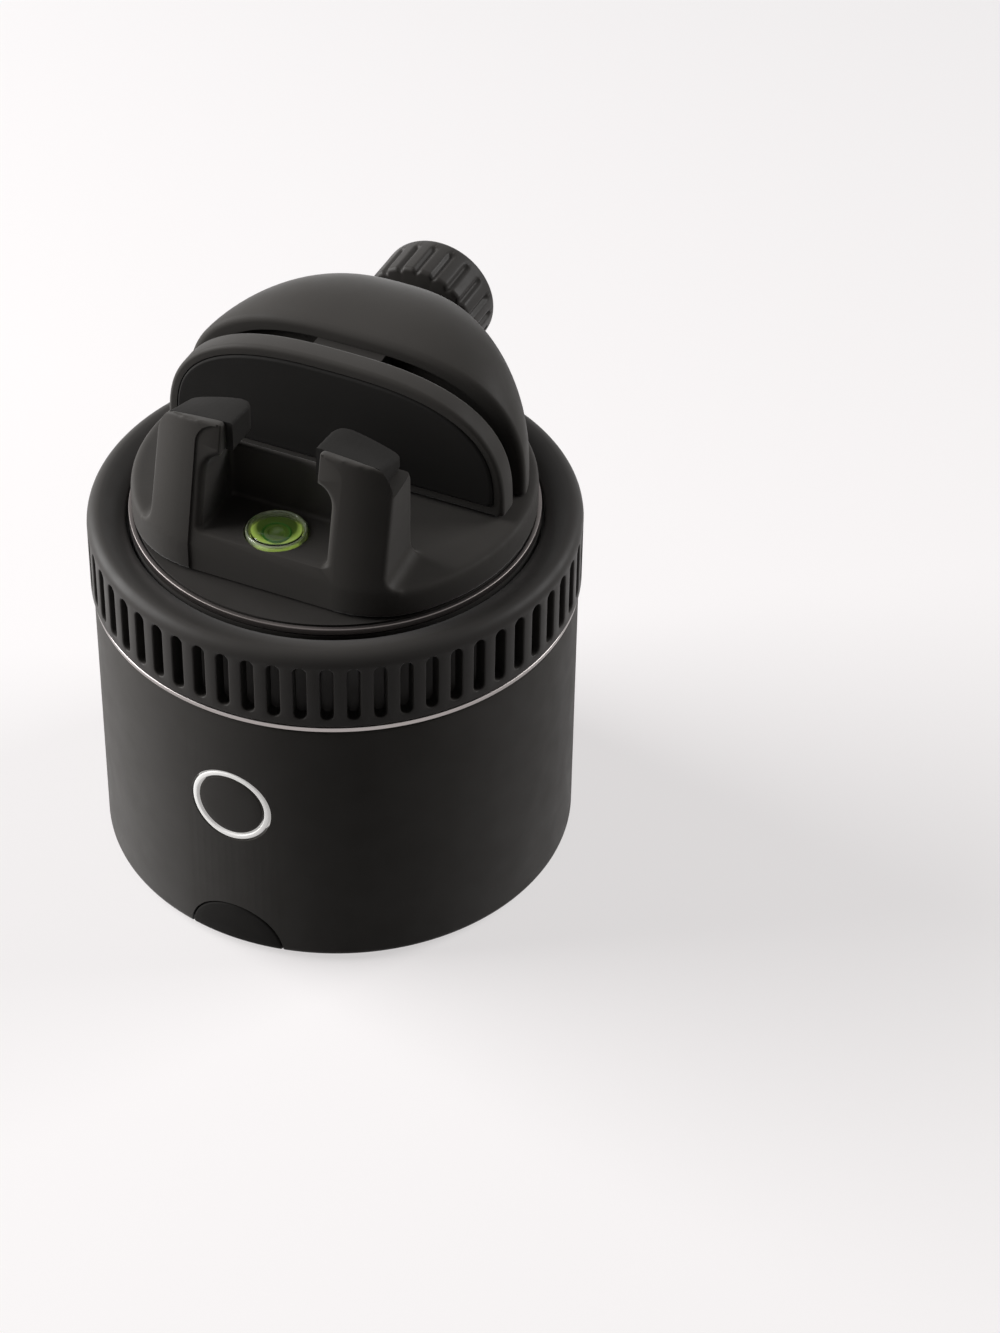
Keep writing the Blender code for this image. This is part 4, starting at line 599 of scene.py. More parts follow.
# Lower trim ring. A thin bright ring of anodised aluminium on the deck, which shows as a line between
# the base and the turret.
TRIM_INNER = 33.2 * MM
TRIM_OUTER = 35.2 * MM
TRIM_LOW = 43.7 * MM
TRIM_HIGH = 44.4 * MM
TRIM_EDGE = 0.15 * MM
silver = metal("satin_aluminium", (0.42, 0.39, 0.38), 0.36, lines=14000, unevenness=0.05)
trim_profile = [
    (TRIM_INNER, TRIM_LOW),
    *arc((TRIM_OUTER - TRIM_EDGE, TRIM_LOW + TRIM_EDGE), TRIM_EDGE, -90, 0, 3),
    *arc((TRIM_OUTER - TRIM_EDGE, TRIM_HIGH - TRIM_EDGE), TRIM_EDGE, 0, 90, 3),
    (TRIM_INNER, TRIM_HIGH),
]
trim = finished(solid("lower_trim", spun(trim_profile, 240)), silver)
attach(trim, "base")
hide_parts("trim_ring")

# Turret ring. One satin black moulding that turns on the base: an outer wall with sixty upright slots
# with round ends, a rounded shoulder, a dished top, and a web inside that sits on the spindle's flange.
TURRET_RADIUS = 35.4 * MM
TURRET_LOW = 44.7 * MM
TURRET_TOP = 57.0 * MM
TURRET_SHOULDER = 1.9 * MM
TURRET_INSIDE = 32.6 * MM
TURRET_LIP = 29.9 * MM
DISH_DEPTH = 1.1 * MM
DISH_RIM = 32.6 * MM
DISH_RIM_DROP = 0.1 * MM
DISH_SLOPE = 31.4 * MM
WEB_LOW = 51.4 * MM
WEB_TOP = 53.6 * MM
WEB_BORE = 6.3 * MM
SLOTS = 60
SLOT_HALF = 0.925 * MM
SLOT_LOW = 46.0 * MM
SLOT_TOP = 55.0 * MM
SLOT_DEPTH = 2.0 * MM
SLOT_EDGE = 0.22 * MM
SLOT_FLOOR_EDGE = 0.3 * MM
LIP_ROUND = 0.15 * MM
WALL_EDGE = 0.2 * MM
WALL_LOW = 45.1 * MM
wall_top = TURRET_TOP - TURRET_SHOULDER
half_pitch = math.pi * TURRET_RADIUS / SLOTS
end_room = wall_top - (SLOT_TOP - SLOT_HALF)
foot_room = (SLOT_LOW + SLOT_HALF) - WALL_LOW


def slot_sector():
    """One pitch of the slotted wall, flat in the XZ plane, with its slot sunk along Y."""
    bm = bmesh.new()
    slot_loop, wall_loop = [], []
    for middle, room, start in ((SLOT_TOP - SLOT_HALF, end_room, 0), (SLOT_LOW + SLOT_HALF, foot_room, 180)):
        corner = math.degrees(math.atan2(room, half_pitch))
        stops = [0, corner / 2, corner, *[corner + (90 - corner) * step / 4 for step in range(1, 5)]]
        stops += [180 - stop for stop in reversed(stops[:-1])]
        for stop in stops:
            turn = math.radians(start + stop)
            across, up = math.cos(turn), math.sin(turn)
            reach = min(half_pitch / max(abs(across), 1e-9), room / max(abs(up), 1e-9))
            slot_loop.append(bm.verts.new((SLOT_HALF * across, 0, middle + SLOT_HALF * up)))
            wall_loop.append(bm.verts.new((reach * across, 0, middle + reach * up)))
    slot_edges = [bm.edges.new((slot_loop[index - 1], vert)) for index, vert in enumerate(slot_loop)]
    wall_edges = [bm.edges.new((wall_loop[index - 1], vert)) for index, vert in enumerate(wall_loop)]
    bmesh.ops.bridge_loops(bm, edges=slot_edges + wall_edges)
    floor_face = bmesh.ops.contextual_create(bm, geom=slot_edges)["faces"]
    sunk = bmesh.ops.extrude_face_region(bm, geom=floor_face)["geom"]
    bmesh.ops.delete(bm, geom=floor_face, context="FACES_ONLY")
    bmesh.ops.translate(bm, verts=only(bmesh.types.BMVert, sunk), vec=(0, SLOT_DEPTH, 0))
    floor_edges = only(bmesh.types.BMEdge, sunk)
    for edges, offset, segments in ((slot_edges, SLOT_EDGE, 3), (floor_edges, SLOT_FLOOR_EDGE, 2)):
        bmesh.ops.bevel(
            bm, geom=edges, offset=offset, segments=segments, profile=0.5, affect="EDGES", material=-1
        )
    return bm


turret_mesh = slot_sector()
for vert in turret_mesh.verts:
    turn, depth = vert.co.x / TURRET_RADIUS, TURRET_RADIUS - vert.co.y
    vert.co = (depth * math.sin(turn), -depth * math.cos(turn), vert.co.z)
sector = turret_mesh.verts[:] + turret_mesh.edges[:] + turret_mesh.faces[:]
bmesh.ops.spin(
    turret_mesh, geom=sector, axis=(0, 0, 1), cent=(0, 0, 0), angle=math.tau * (SLOTS - 1) / SLOTS,
    steps=SLOTS - 1, use_duplicate=True,
)
bmesh.ops.remove_doubles(turret_mesh, verts=turret_mesh.verts, dist=0.002 * MM)


def drawn_on(bm, height, rings):
    """Draws the open rim at a height on through (radius, height) rings, and returns its last edges."""
    edges = [
        edge for edge in bm.edges
        if edge.is_boundary and all(abs(vert.co.z - height) < 1e-6 for vert in edge.verts)
    ]
    for radius, level in rings:
        edges = only(bmesh.types.BMEdge, bmesh.ops.extrude_edge_only(bm, edges=edges)["geom"])
        for vert in {vert for edge in edges for vert in edge.verts}:
            scale = radius / math.hypot(vert.co.x, vert.co.y)
            vert.co = (vert.co.x * scale, vert.co.y * scale, level)
    return edges


shoulder = arc((TURRET_RADIUS - TURRET_SHOULDER, wall_top), TURRET_SHOULDER, 0, 90, 12)[1:]
dish_floor = TURRET_TOP - DISH_DEPTH
dish = [(DISH_RIM, TURRET_TOP - DISH_RIM_DROP), (DISH_SLOPE, TURRET_TOP - DISH_DEPTH / 2)]
dish += [(TURRET_LIP + LIP_ROUND, dish_floor), (TURRET_LIP, dish_floor - LIP_ROUND)]
upper = drawn_on(turret_mesh, wall_top, [*shoulder, *dish, (TURRET_LIP, WEB_TOP), (WEB_BORE, WEB_TOP)])
lower = drawn_on(turret_mesh, WALL_LOW, [
    (TURRET_RADIUS, TURRET_LOW + WALL_EDGE), (TURRET_RADIUS - WALL_EDGE, TURRET_LOW),
    (TURRET_INSIDE, TURRET_LOW), (TURRET_INSIDE, WEB_LOW), (WEB_BORE, WEB_LOW),
])
bmesh.ops.bridge_loops(turret_mesh, edges=upper + lower)
turret = finished(solid("turret", turret_mesh), satin_black, 40)
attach(turret, "head")
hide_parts("turret_ring")

# Head plate and upper trim ring. A flat black disc screwed to the turret's web, rebated for a thin bright
# ring that shows as a line under the tray.
PLATE_RADIUS = 29.4 * MM
PLATE_LOW = 53.9 * MM
PLATE_TOP = 57.3 * MM
SPINDLE_RECESS = 9.8 * MM
RECESS_TOP = 55.6 * MM
RING_LOW = 56.3 * MM
RING_HIGH = 57.2 * MM
RING_WIDTH = 0.6 * MM
rebate = PLATE_RADIUS - RING_WIDTH
plate_profile = [
    (0, RECESS_TOP), (SPINDLE_RECESS, RECESS_TOP), (SPINDLE_RECESS, PLATE_LOW), (PLATE_RADIUS, PLATE_LOW),
    (PLATE_RADIUS, RING_LOW - GAP), (rebate - GAP, RING_LOW - GAP), (rebate - GAP, PLATE_TOP), (0, PLATE_TOP),
]
plate = finished(solid("turntable_plate", spun(plate_profile)), satin_black)
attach(plate, "head")
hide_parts("head_plate")
upper_trim_profile = [
    (rebate, RING_LOW), (PLATE_RADIUS, RING_LOW),
    *arc((PLATE_RADIUS - TRIM_EDGE, RING_HIGH - TRIM_EDGE), TRIM_EDGE, 0, 90, 3), (rebate, RING_HIGH),
]
gunmetal = metal("gunmetal", (0.15, 0.135, 0.13), 0.4, lines=14000, unevenness=0.05)
upper_trim = finished(solid("upper_trim", spun(upper_trim_profile, 240)), gunmetal)
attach(upper_trim, "head")
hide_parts("head_trim_ring")
painted(steel, *[f"{kind}_screw_{number}" for kind in ("head", "dome") for number in (1, 2, 3)])

# Head body. One soft-touch moulding: a round tray with a flat front, two hooks like canes that rise from
# its front corners, the ledge for the level between them and a low wall behind it. The middle of the front
# is set back a hair, and every edge is soft. Six screws hold it to the plate and the dome to it.
HEAD_RADIUS = 28.9 * MM
HEAD_FLAT = 23.6 * MM
HEAD_CORNER = 14.6 * MM
HEAD_LOW = 57.6 * MM
TRAY_FLOOR = 62.0 * MM
ROOT = 60.0 * MM
TRAY_ROUND = 1.0 * MM
LEDGE_TOP = 64.2 * MM
POCKET_HALF = 9.6 * MM
HOOK_BACK = -11.9 * MM
LIP_WALL = 1.2 * MM
LIP_WALL_TOP = 73.1 * MM
HOOK_TIP = 7.3 * MM
HOOK_TOP = 80.6 * MM
CROWN_FRONT = -19.5 * MM
CROWN_FALL = 0.8 * MM
CROWN_DROPS = (0.5 * MM, 2.6 * MM)
CROWN_REACH = 10.0 * MM
HOOK_UNDERSIDE = 75.9 * MM
HOOK_FILLET = 3.0 * MM
HOOK_SHOULDERS = (2.8 * MM, 4.0 * MM)
HOOK_OUTER_FRONT = 18.2 * MM
HOOK_OUTER_BACK = 17.6 * MM
HOOK_FOOT = 2.0 * MM
HOOK_LEAN = 0.22
HOOK_TAPER = 0.17
FINGER_BACK = -18.2 * MM
SEAM_HALF = 11.1 * MM
SEAM_STEP = 0.25 * MM
SEAM_CURVE = 3.0 * MM
SEAM_TOP = 80.3 * MM
OPENING_ROUND = 1.1 * MM
OPENING_FOOT = 0.8 * MM
SLIVER = 0.02 * MM
LEDGE_SHARE = 0.2
LEVEL_Y = -18.2 * MM
LEVEL_RADIUS = 4.3 * MM
LEVEL_LOW = 61.2 * MM
HEAD_SCREW_CIRCLE = 20.0 * MM
HEAD_SCREW_TOP = 60.9 * MM
HEAD_SCREW_HOLE = 1.4 * MM
DOME_SCREWS = ((-17.0 * MM, 11.5 * MM), (17.0 * MM, 11.5 * MM), (0, 24.6 * MM))
DOME_SCREW_SEAT = 59.0 * MM
DOME_SCREW_TOP = 66.5 * MM
ENVELOPE_RISE = 21.0 * MM
GRAIN = 0.27 * MM
SOFTENING = 12


def skin(rings, triangles=False):
    """Bridges closed rings of points into a skin and closes both its ends, in triangles if need be."""
    bm = bmesh.new()
    loops = []
    for ring in rings:
        verts = [bm.verts.new(point) for point in ring]
        loops.append([bm.edges.new((verts[index - 1], vert)) for index, vert in enumerate(verts)])
    for first, second in zip(loops, loops[1:]):
        bmesh.ops.bridge_loops(bm, edges=first + second)
    for end in (loops[0], loops[-1]):
        bmesh.ops.contextual_create(bm, geom=end)
    if triangles:
        bmesh.ops.triangulate(bm, faces=bm.faces)
    return bm


def oblong(half, front, back, height):
    return [(-half, front, height), (half, front, height), (half, back, height), (-half, back, height)]


def head_ring(radius, flat, height):
    """A circle cut by a flat in front, with large round corners."""
    inset = radius - HEAD_CORNER
    corner_y = HEAD_CORNER - flat
    corner_x = math.sqrt(inset**2 - corner_y**2)
    reach = math.degrees(math.atan2(corner_y, corner_x))
    outline = arc((corner_x, corner_y), HEAD_CORNER, -90, reach, 18)
    outline += arc((0, 0), radius, reach, 180 - reach, 120)[1:-1]
    outline += arc((-corner_x, corner_y), HEAD_CORNER, 180 - reach, 270, 18)
    return [(x, y, height) for x, y in outline]


def between(pair, share):
    return pair[0] + (pair[1] - pair[0]) * share


def crown(x, share):
    """Height of a hook's top: nearly level in front, and falling outwards at the back as the dome does."""
    outwards = max(x - HOOK_TIP, 0) / CROWN_REACH
    return HOOK_TOP - CROWN_FALL * share - between(CROWN_DROPS, share) * outwards**1.5


def hook_ring(side, y, share):
    """A hook seen from the front: tip, crown, shoulder, leg, foot, and the round underside."""
    outer = between((HOOK_OUTER_BACK, HOOK_OUTER_FRONT), (HOOK_BACK - y) / (HOOK_BACK + HEAD_FLAT))
    shoulder = between(HOOK_SHOULDERS, share)
    lean = math.atan(1.4 * between(CROWN_DROPS, share) / CROWN_REACH)
    crown_end = outer - shoulder * (1 - math.sin(lean))
    shoulder_z = crown(crown_end, share) - shoulder * math.cos(lean)
    stations = [between((HOOK_TIP, crown_end), step / 8) for step in range(8)]
    outline = [(HOOK_TIP, HOOK_UNDERSIDE)] + [(x, crown(x, share)) for x in stations]
    outline += arc((outer - shoulder, shoulder_z), shoulder, 90 - math.degrees(lean), 0, 10)
    outline += arc((outer + HOOK_FOOT, TRAY_FLOOR + HOOK_FOOT), HOOK_FOOT, 180, 270, 6)
    outline += [(outer + HOOK_FOOT, ROOT), (POCKET_HALF, ROOT)]
    outline += arc((POCKET_HALF - HOOK_FILLET, HOOK_UNDERSIDE - HOOK_FILLET), HOOK_FILLET, 0, 76, 10)
    return [(side * x, y, z) for x, z in outline]


def front_at(height):
    """How far forward the head's flat front is: upright on the tray, leaning back above it."""
    return HOOK_LEAN * max(height - TRAY_FLOOR, 0) - HEAD_FLAT


def gathered(piece, bm):
    """Adds a bmesh's geometry to a piece, and clears it."""
    held = bmesh.new()
    held.from_mesh(piece.data)
    added(held, bm)
    held.to_mesh(piece.data)
    held.free()


def one_skin(piece, grain, softening):
    """Makes a piece's overlapping solids one skin with soft edges."""
    remesh = piece.modifiers.new("one_skin", "REMESH")
    remesh.mode = "VOXEL"
    remesh.voxel_size = grain
    soften = piece.modifiers.new("soft_edges", "SMOOTH")
    soften.factor = 0.5
    soften.iterations = softening
    return settled(piece)


tray_rings = [head_ring(HEAD_RADIUS, HEAD_FLAT, HEAD_LOW)]
tray_rings += [
    head_ring(HEAD_RADIUS - TRAY_ROUND + reach, HEAD_FLAT - TRAY_ROUND + reach, height)
    for reach, height in arc((0, TRAY_FLOOR - TRAY_ROUND), TRAY_ROUND, 0, 90, 5)
]
head = solid("head_moulding", skin(tray_rings))
envelope_rings = [
    head_ring(HEAD_RADIUS, HEAD_FLAT, ROOT - BITE),
    head_ring(HEAD_RADIUS, HEAD_FLAT, TRAY_FLOOR),
    head_ring(
        HEAD_RADIUS - HOOK_TAPER * ENVELOPE_RISE, HEAD_FLAT - HOOK_LEAN * ENVELOPE_RISE,
        TRAY_FLOOR + ENVELOPE_RISE,
    ),
]
for side in (-1, 1):
    hook_rings = [
        hook_ring(side, y, share) for y, share in ((-HEAD_RADIUS - PAST, 0), (CROWN_FRONT, 0), (HOOK_BACK, 1))
    ]
    hook = solid("hook", skin(hook_rings, triangles=True))
    carved(hook, skin(envelope_rings, triangles=True), "INTERSECT")
    gathered(head, taken(hook))
ledge_half = POCKET_HALF + PAST
gathered(head, skin([
    oblong(ledge_half, front_at(height), HOOK_BACK - BITE, height)
    for height in (ROOT, TRAY_FLOOR, LEDGE_TOP)
]))
gathered(head, box_between((-ledge_half, HOOK_BACK - LIP_WALL, ROOT), (ledge_half, HOOK_BACK, LIP_WALL_TOP)))
one_skin(head, GRAIN, SOFTENING)
carved(head, box_between(
    (-HEAD_RADIUS, FINGER_BACK, HOOK_UNDERSIDE - GAP),
    (HEAD_RADIUS, HOOK_BACK + 5 * PAST, HOOK_TOP + 2 * PAST),
))
seam_stops = [(SEAM_HALF, HEAD_LOW - PAST), (SEAM_HALF, TRAY_FLOOR)]
seam_stops += arc((SEAM_HALF - SEAM_CURVE, SEAM_TOP - SEAM_CURVE), SEAM_CURVE, 0, 90, 8)
seam_stops += [(SEAM_HALF - SEAM_CURVE, HOOK_TOP + 2 * PAST)]
carved(head, skin([
    oblong(half, front_at(height) - 3 * PAST, front_at(height) + SEAM_STEP, height)
    for half, height in seam_stops
]))


def opening_ring(grown, depth):
    """The opening between the hooks, as its front edge sees it, grown all round and at a depth."""
    foot, fillet = OPENING_FOOT, HOOK_FILLET + grown
    tip = HOOK_TIP + grown * 0.35
    under = math.degrees(math.acos((tip - POCKET_HALF + HOOK_FILLET) / fillet))
    floor_round = (foot + grown * LEDGE_SHARE) / (foot + grown)
    half = [
        (x, LEDGE_TOP + foot + (z - LEDGE_TOP - foot) * floor_round)
        for x, z in arc((POCKET_HALF - foot, LEDGE_TOP + foot), foot + grown, -90, 0, 6)
    ]
    half += arc((POCKET_HALF - HOOK_FILLET, HOOK_UNDERSIDE - HOOK_FILLET), fillet, 0, under, 8)
    half.append((tip, HOOK_TOP + 3 * PAST))
    outline = half + [(-x, z) for x, z in reversed(half)]
    return [(x, front_at(z) + depth, z) for x, z in outline]


opening_rings = [opening_ring(OPENING_ROUND, -PAST)]
for reach, depth in arc((OPENING_ROUND, SEAM_STEP + OPENING_ROUND), OPENING_ROUND, 270, 180, 6):
    opening_rings.append(opening_ring(reach - SLIVER, depth))
carved(head, skin(opening_rings, triangles=True))
carved(head, moved(rod(LEVEL_RADIUS + GAP, LEVEL_LOW - GAP, LEDGE_TOP + 3 * PAST, 96), y=LEVEL_Y))
way_foot = HEAD_LOW - PAST
screw_ways = at_thirds(lambda: rod(HEAD_SCREW_HOLE, way_foot, HEAD_SCREW_TOP, 24), HEAD_SCREW_CIRCLE)
dome_way = [
    (0, way_foot), (COUNTERBORE, way_foot), (COUNTERBORE, DOME_SCREW_SEAT),
    (HEAD_SCREW_HOLE, DOME_SCREW_SEAT), (HEAD_SCREW_HOLE, DOME_SCREW_TOP), (0, DOME_SCREW_TOP),
]
for x, y in DOME_SCREWS:
    added(screw_ways, moved(spun(dome_way, 24), x, y))
carved(head, screw_ways)
finished(head, soft_black, 40)
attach(head, "head")
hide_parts("head_body")

# Hook pads. Soft rubber pads behind the hooks' tips, flush with the crown and rounded where they meet the
# phone. Each stands a millimetre past its hook's tip.
PAD_TIP = 6.3 * MM
PAD_END = 16.0 * MM
PAD_BACK = -11.3 * MM
PAD_CORNER = 2.0 * MM
PAD_STATIONS = (-21.0 * MM, CROWN_FRONT, -16.0 * MM, PAD_BACK)
PAD_END_CORNER = 1.2 * MM
PAD_GRAIN = 0.18 * MM
PAD_SOFTENING = 14
CUT_LOW = 70.0 * MM
CUT_HIGH = 85.0 * MM
SEAM = 0.06 * MM


def pad_ring(side, y):
    """A pad seen from the front: its tip, the crown and its outer end."""
    share = max((y - CROWN_FRONT) / (HOOK_BACK - CROWN_FRONT), 0)
    stations = [between((PAD_TIP, PAD_END), step / 10) for step in range(11)]
    top = [(x, crown(x, share)) for x in stations]
    outline = [(PAD_TIP, HOOK_UNDERSIDE), *top, (PAD_END, HOOK_UNDERSIDE)]
    return [(side * x, y, z) for x, z in outline]


pad_plan = arc((PAD_TIP + PAD_CORNER, PAD_BACK - PAD_CORNER), PAD_CORNER, 180, 90, 8)
pad_plan += arc((PAD_END - PAD_END_CORNER, PAD_BACK - PAD_END_CORNER), PAD_END_CORNER, 90, 0, 6)
pad_plan += [(PAD_END, CROWN_FRONT - 2 * PAST), (PAD_TIP, CROWN_FRONT - 2 * PAST)]
for side, name, node in ((-1, "left_hook_pad", "hook_pad_left"), (1, "right_hook_pad", "hook_pad_right")):
    pad_rings = [pad_ring(side, y) for y in PAD_STATIONS]
    pad = solid(name, skin(pad_rings, triangles=True))
    plan = skin([[(side * x, y, height) for x, y in pad_plan] for height in (CUT_LOW, CUT_HIGH)])
    carved(pad, plan, "INTERSECT")
    one_skin(pad, PAD_GRAIN, PAD_SOFTENING)
    carved(pad, box_between(
        (-HEAD_RADIUS, -HEAD_RADIUS, CUT_LOW), (HEAD_RADIUS, FINGER_BACK + SEAM, CUT_HIGH)
    ))
    finished(pad, rubber, 40)
    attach(pad, "head")
    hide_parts(node)

# Bubble level. A clear moulded vial with a rounded rim, pressed into the ledge and filled with yellow-green
# fluid. Its bubble sits in a dark circle under a clear domed lens.
VIAL_TOP = 64.7 * MM
VIAL_BORE = 3.9 * MM
VIAL_FLOOR = 61.6 * MM
VIAL_EDGE = 0.2 * MM
FLUID_TOP = 63.6 * MM
FLUID_RADIUS = 3.6 * MM
GLOW_FROM = 2.6 * MM
GLOW_TO = 3.9 * MM
LENS_LOW = 63.9 * MM
LENS_RIM = 64.4 * MM
LENS_TOP = 64.85 * MM
CIRCLE_RADIUS = 1.9 * MM
CIRCLE_HALF = 0.16 * MM
CIRCLE_CROWN = 0.1 * MM
CIRCLE_LOW = FLUID_TOP + 0.02 * MM
CIRCLE_TOP = FLUID_TOP + 0.12 * MM
BUBBLE_RADIUS = 1.25 * MM
BUBBLE_DEPTH = 0.6 * MM


def clear(name, colour, roughness, ior, clearness=1.0):
    """A clear plastic with a tint, faint ripples and an uneven polish."""
    made, tree, shader = material(name)
    ripples = noise(tree, position(tree), scale=260, detail=2)
    fed(shader, {
        "Transmission Weight": clearness,
        "IOR": ior,
        "Base Color": shaded(tree, ripples, colour, 0.94, 1),
        "Roughness": ranged(tree, ripples, roughness, roughness + 0.06),
        "Normal": bumped(tree, ripples, 0.3, 0.02 * MM),
    })
    return made


def round_cap(radius, rim, rise, step):
    """A shallow cap between its rim and its middle, every so many degrees. With a rise below 0 it is sunk."""
    turns = [math.radians(turn) for turn in range(step, 90, step)]
    return [(radius * math.cos(turn), rim + rise * math.sin(turn)) for turn in turns]


vial_clear = clear("vial_clear", (0.74, 0.8, 0.6), 0.1, 1.46, clearness=0.72)
lens_clear = clear("lens_clear", (0.95, 0.98, 0.92), 0.03, 1.35)
vial_profile = [
    (0, LEVEL_LOW), (LEVEL_RADIUS - VIAL_EDGE, LEVEL_LOW), (LEVEL_RADIUS, LEVEL_LOW + VIAL_EDGE),
    *arc((LEVEL_RADIUS - VIAL_EDGE, VIAL_TOP - VIAL_EDGE), VIAL_EDGE, 0, 180, 8),
    (VIAL_BORE, VIAL_FLOOR), (0, VIAL_FLOOR),
]
vial = finished(solid("level_vial", moved(spun(vial_profile, 96), y=LEVEL_Y)), vial_clear)
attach(vial, "head")
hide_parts("level_cup")
fluid_green = moulded(
    "level_fluid", (0.07, 0.13, 0.022), 0.12, 0.5 * MM, 0.002 * MM, mottle=0.1, polish=0.04, shine=0.4
)
fluid_tree = fluid_green.node_tree
# The fluid's glow is painted light. Its emission is faint round a point a little left of and behind the
# middle, and strong towards the rim. It stands in for light that shines through the fluid from behind and
# brightens its front crescent.
painted_glow_centre = (-0.5 * MM, LEVEL_Y + 1.1 * MM, FLUID_TOP)
painted_glow_reach = new_node(fluid_tree, "VectorMath", {0: position(fluid_tree), 1: painted_glow_centre}, "DISTANCE")
fed(fluid_tree.nodes["Principled BSDF"], {
    "Emission Color": (0.5, 0.64, 0.14, 1),
    "Emission Strength": ranged(fluid_tree, painted_glow_reach.outputs["Value"], 0.02, 0.9, GLOW_FROM, GLOW_TO),
})
fluid_profile = [
    (0, VIAL_FLOOR + GAP), (FLUID_RADIUS, VIAL_FLOOR + GAP), (FLUID_RADIUS, FLUID_TOP - VIAL_EDGE),
    (FLUID_RADIUS - VIAL_EDGE, FLUID_TOP), (BUBBLE_RADIUS, FLUID_TOP),
    *round_cap(BUBBLE_RADIUS, FLUID_TOP, -BUBBLE_DEPTH, 15), (0, FLUID_TOP - BUBBLE_DEPTH),
]
fluid = finished(solid("level_fluid_body", moved(spun(fluid_profile, 72), y=LEVEL_Y)), fluid_green, 60)
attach(fluid, "head")
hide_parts("level_liquid")
lens_rings = [
    (0, LENS_LOW), (FLUID_RADIUS, LENS_LOW), (FLUID_RADIUS, LENS_RIM),
    *round_cap(FLUID_RADIUS, LENS_RIM, LENS_TOP - LENS_RIM, 10), (0, LENS_TOP),
]
level_lens = finished(solid("level_dome_lens", moved(spun(lens_rings, 72), y=LEVEL_Y)), lens_clear, 60)
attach(level_lens, "head")
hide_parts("level_lens")
circle_green = moulded("circle_green", (0.03, 0.13, 0.015), 0.3, mottle=0.1)
circle_profile = [
    (CIRCLE_RADIUS - CIRCLE_HALF, CIRCLE_LOW), (CIRCLE_RADIUS + CIRCLE_HALF, CIRCLE_LOW),
    (CIRCLE_RADIUS + CIRCLE_CROWN, CIRCLE_TOP), (CIRCLE_RADIUS - CIRCLE_CROWN, CIRCLE_TOP),
]
level_circle = finished(solid("level_circle", moved(spun(circle_profile, 72), y=LEVEL_Y)), circle_green, 60)
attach(level_circle, "head")

# Dome. A thin soft-touch shell with a rounded lip round its mouth, a bulkhead behind the mouth and a flat
# end where the clamp screw comes out. Three screws from under the tray hold it.
DOME_LIP = 5.85 * MM
DOME_REAR = 28.8 * MM
DOME_HALF = 26.7 * MM
DOME_HEIGHT = 19.9 * MM
DOME_SWELL = 1.9 * MM
DOME_SECTION = 2.85
DOME_PLAN = 1.6
DOME_PROFILE = 3.1
DOME_WALL = 2.0 * MM
DOME_LIP_ROUND = 0.9 * MM
DOME_END = 26.6 * MM
DOME_FOOT = 62.3 * MM
MOUTH_BACK = 7.4 * MM
CAVITY_FRONT = 13.5 * MM
CAVITY_BACK = 22.5 * MM
TONGUE_HALF = 5.25 * MM
TONGUE_LOW = 64.9 * MM
TONGUE_TOP = 80.2 * MM
SCREW_HEIGHT = 71.1 * MM
BUSH_HOLE = 3.9 * MM
BUSH_DEPTH = 8.0 * MM
MOUTH_ROUND = 0.8 * MM
QUARTER = [(1 - math.cos(turn), 1 - math.sin(turn)) for turn in map(math.radians, range(0, 91, 15))]


def arched(half, top, foot, power, steps):
    """An arched outline, as (x, z), from +X over the top to -X, standing on its foot."""
    outline = []
    for step in range(steps + 1):
        turn = math.pi * step / steps
        across, up = math.cos(turn), abs(math.sin(turn))
        x = half * math.copysign(abs(across) ** (2 / power), across)
        outline.append((x, foot + (top - foot) * up ** (2 / power)))
    return outline


def dome_ring(y, inset, foot=DOME_FOOT, steps=72):
    """The dome's section at a depth y, drawn in by an inset."""
    along = max((y - DOME_LIP) / (DOME_REAR - DOME_LIP), 0)
    half = DOME_HALF * (1 - along**DOME_PLAN) ** (1 / DOME_PLAN)
    swell = DOME_SWELL * math.sin(math.pi * along)
    height = (DOME_HEIGHT + swell) * (1 - along**DOME_PROFILE) ** (1 / DOME_PROFILE)
    outline = arched(half - inset, TRAY_FLOOR + height - inset, foot, DOME_SECTION, steps)
    return [(x, y, z) for x, z in outline]


dome_rings = [
    dome_ring(DOME_LIP + DOME_LIP_ROUND * depth, DOME_LIP_ROUND * inset) for depth, inset in QUARTER
]
dome_start = DOME_LIP + DOME_LIP_ROUND
for step in range(1, 33):
    share = 1 - (1 - step / 32) ** 1.5
    dome_rings.append(dome_ring(dome_start + (DOME_END - dome_start) * share, 0))
dome = solid("dome_cover", skin(dome_rings))
mouth_depths = (DOME_LIP - PAST, DOME_LIP + MOUTH_ROUND, MOUTH_BACK)
cavity_depths = [between((CAVITY_FRONT, CAVITY_BACK), step / 6) for step in range(7)]
for depths, steps in ((mouth_depths, 48), (cavity_depths, 40)):
    carved(dome, skin([dome_ring(y, DOME_WALL, DOME_FOOT - PAST, steps) for y in depths]))
carved(dome, box_between(
    (-TONGUE_HALF - GAP, MOUTH_BACK - PAST, TONGUE_LOW), (TONGUE_HALF + GAP, CAVITY_FRONT + PAST, TONGUE_TOP)
))
carved(dome, facing_rear(rod(BUSH_HOLE, 0, BUSH_DEPTH), SCREW_HEIGHT, CAVITY_BACK - PAST))
dome_drills = bmesh.new()
for x, y in DOME_SCREWS:
    added(dome_drills, moved(rod(HEAD_SCREW_HOLE, DOME_FOOT - 2 * PAST, DOME_SCREW_TOP, 24), x, y))
carved(dome, dome_drills)
finished(dome, soft_black, 40)
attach(dome, "head")
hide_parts("dome_shell")

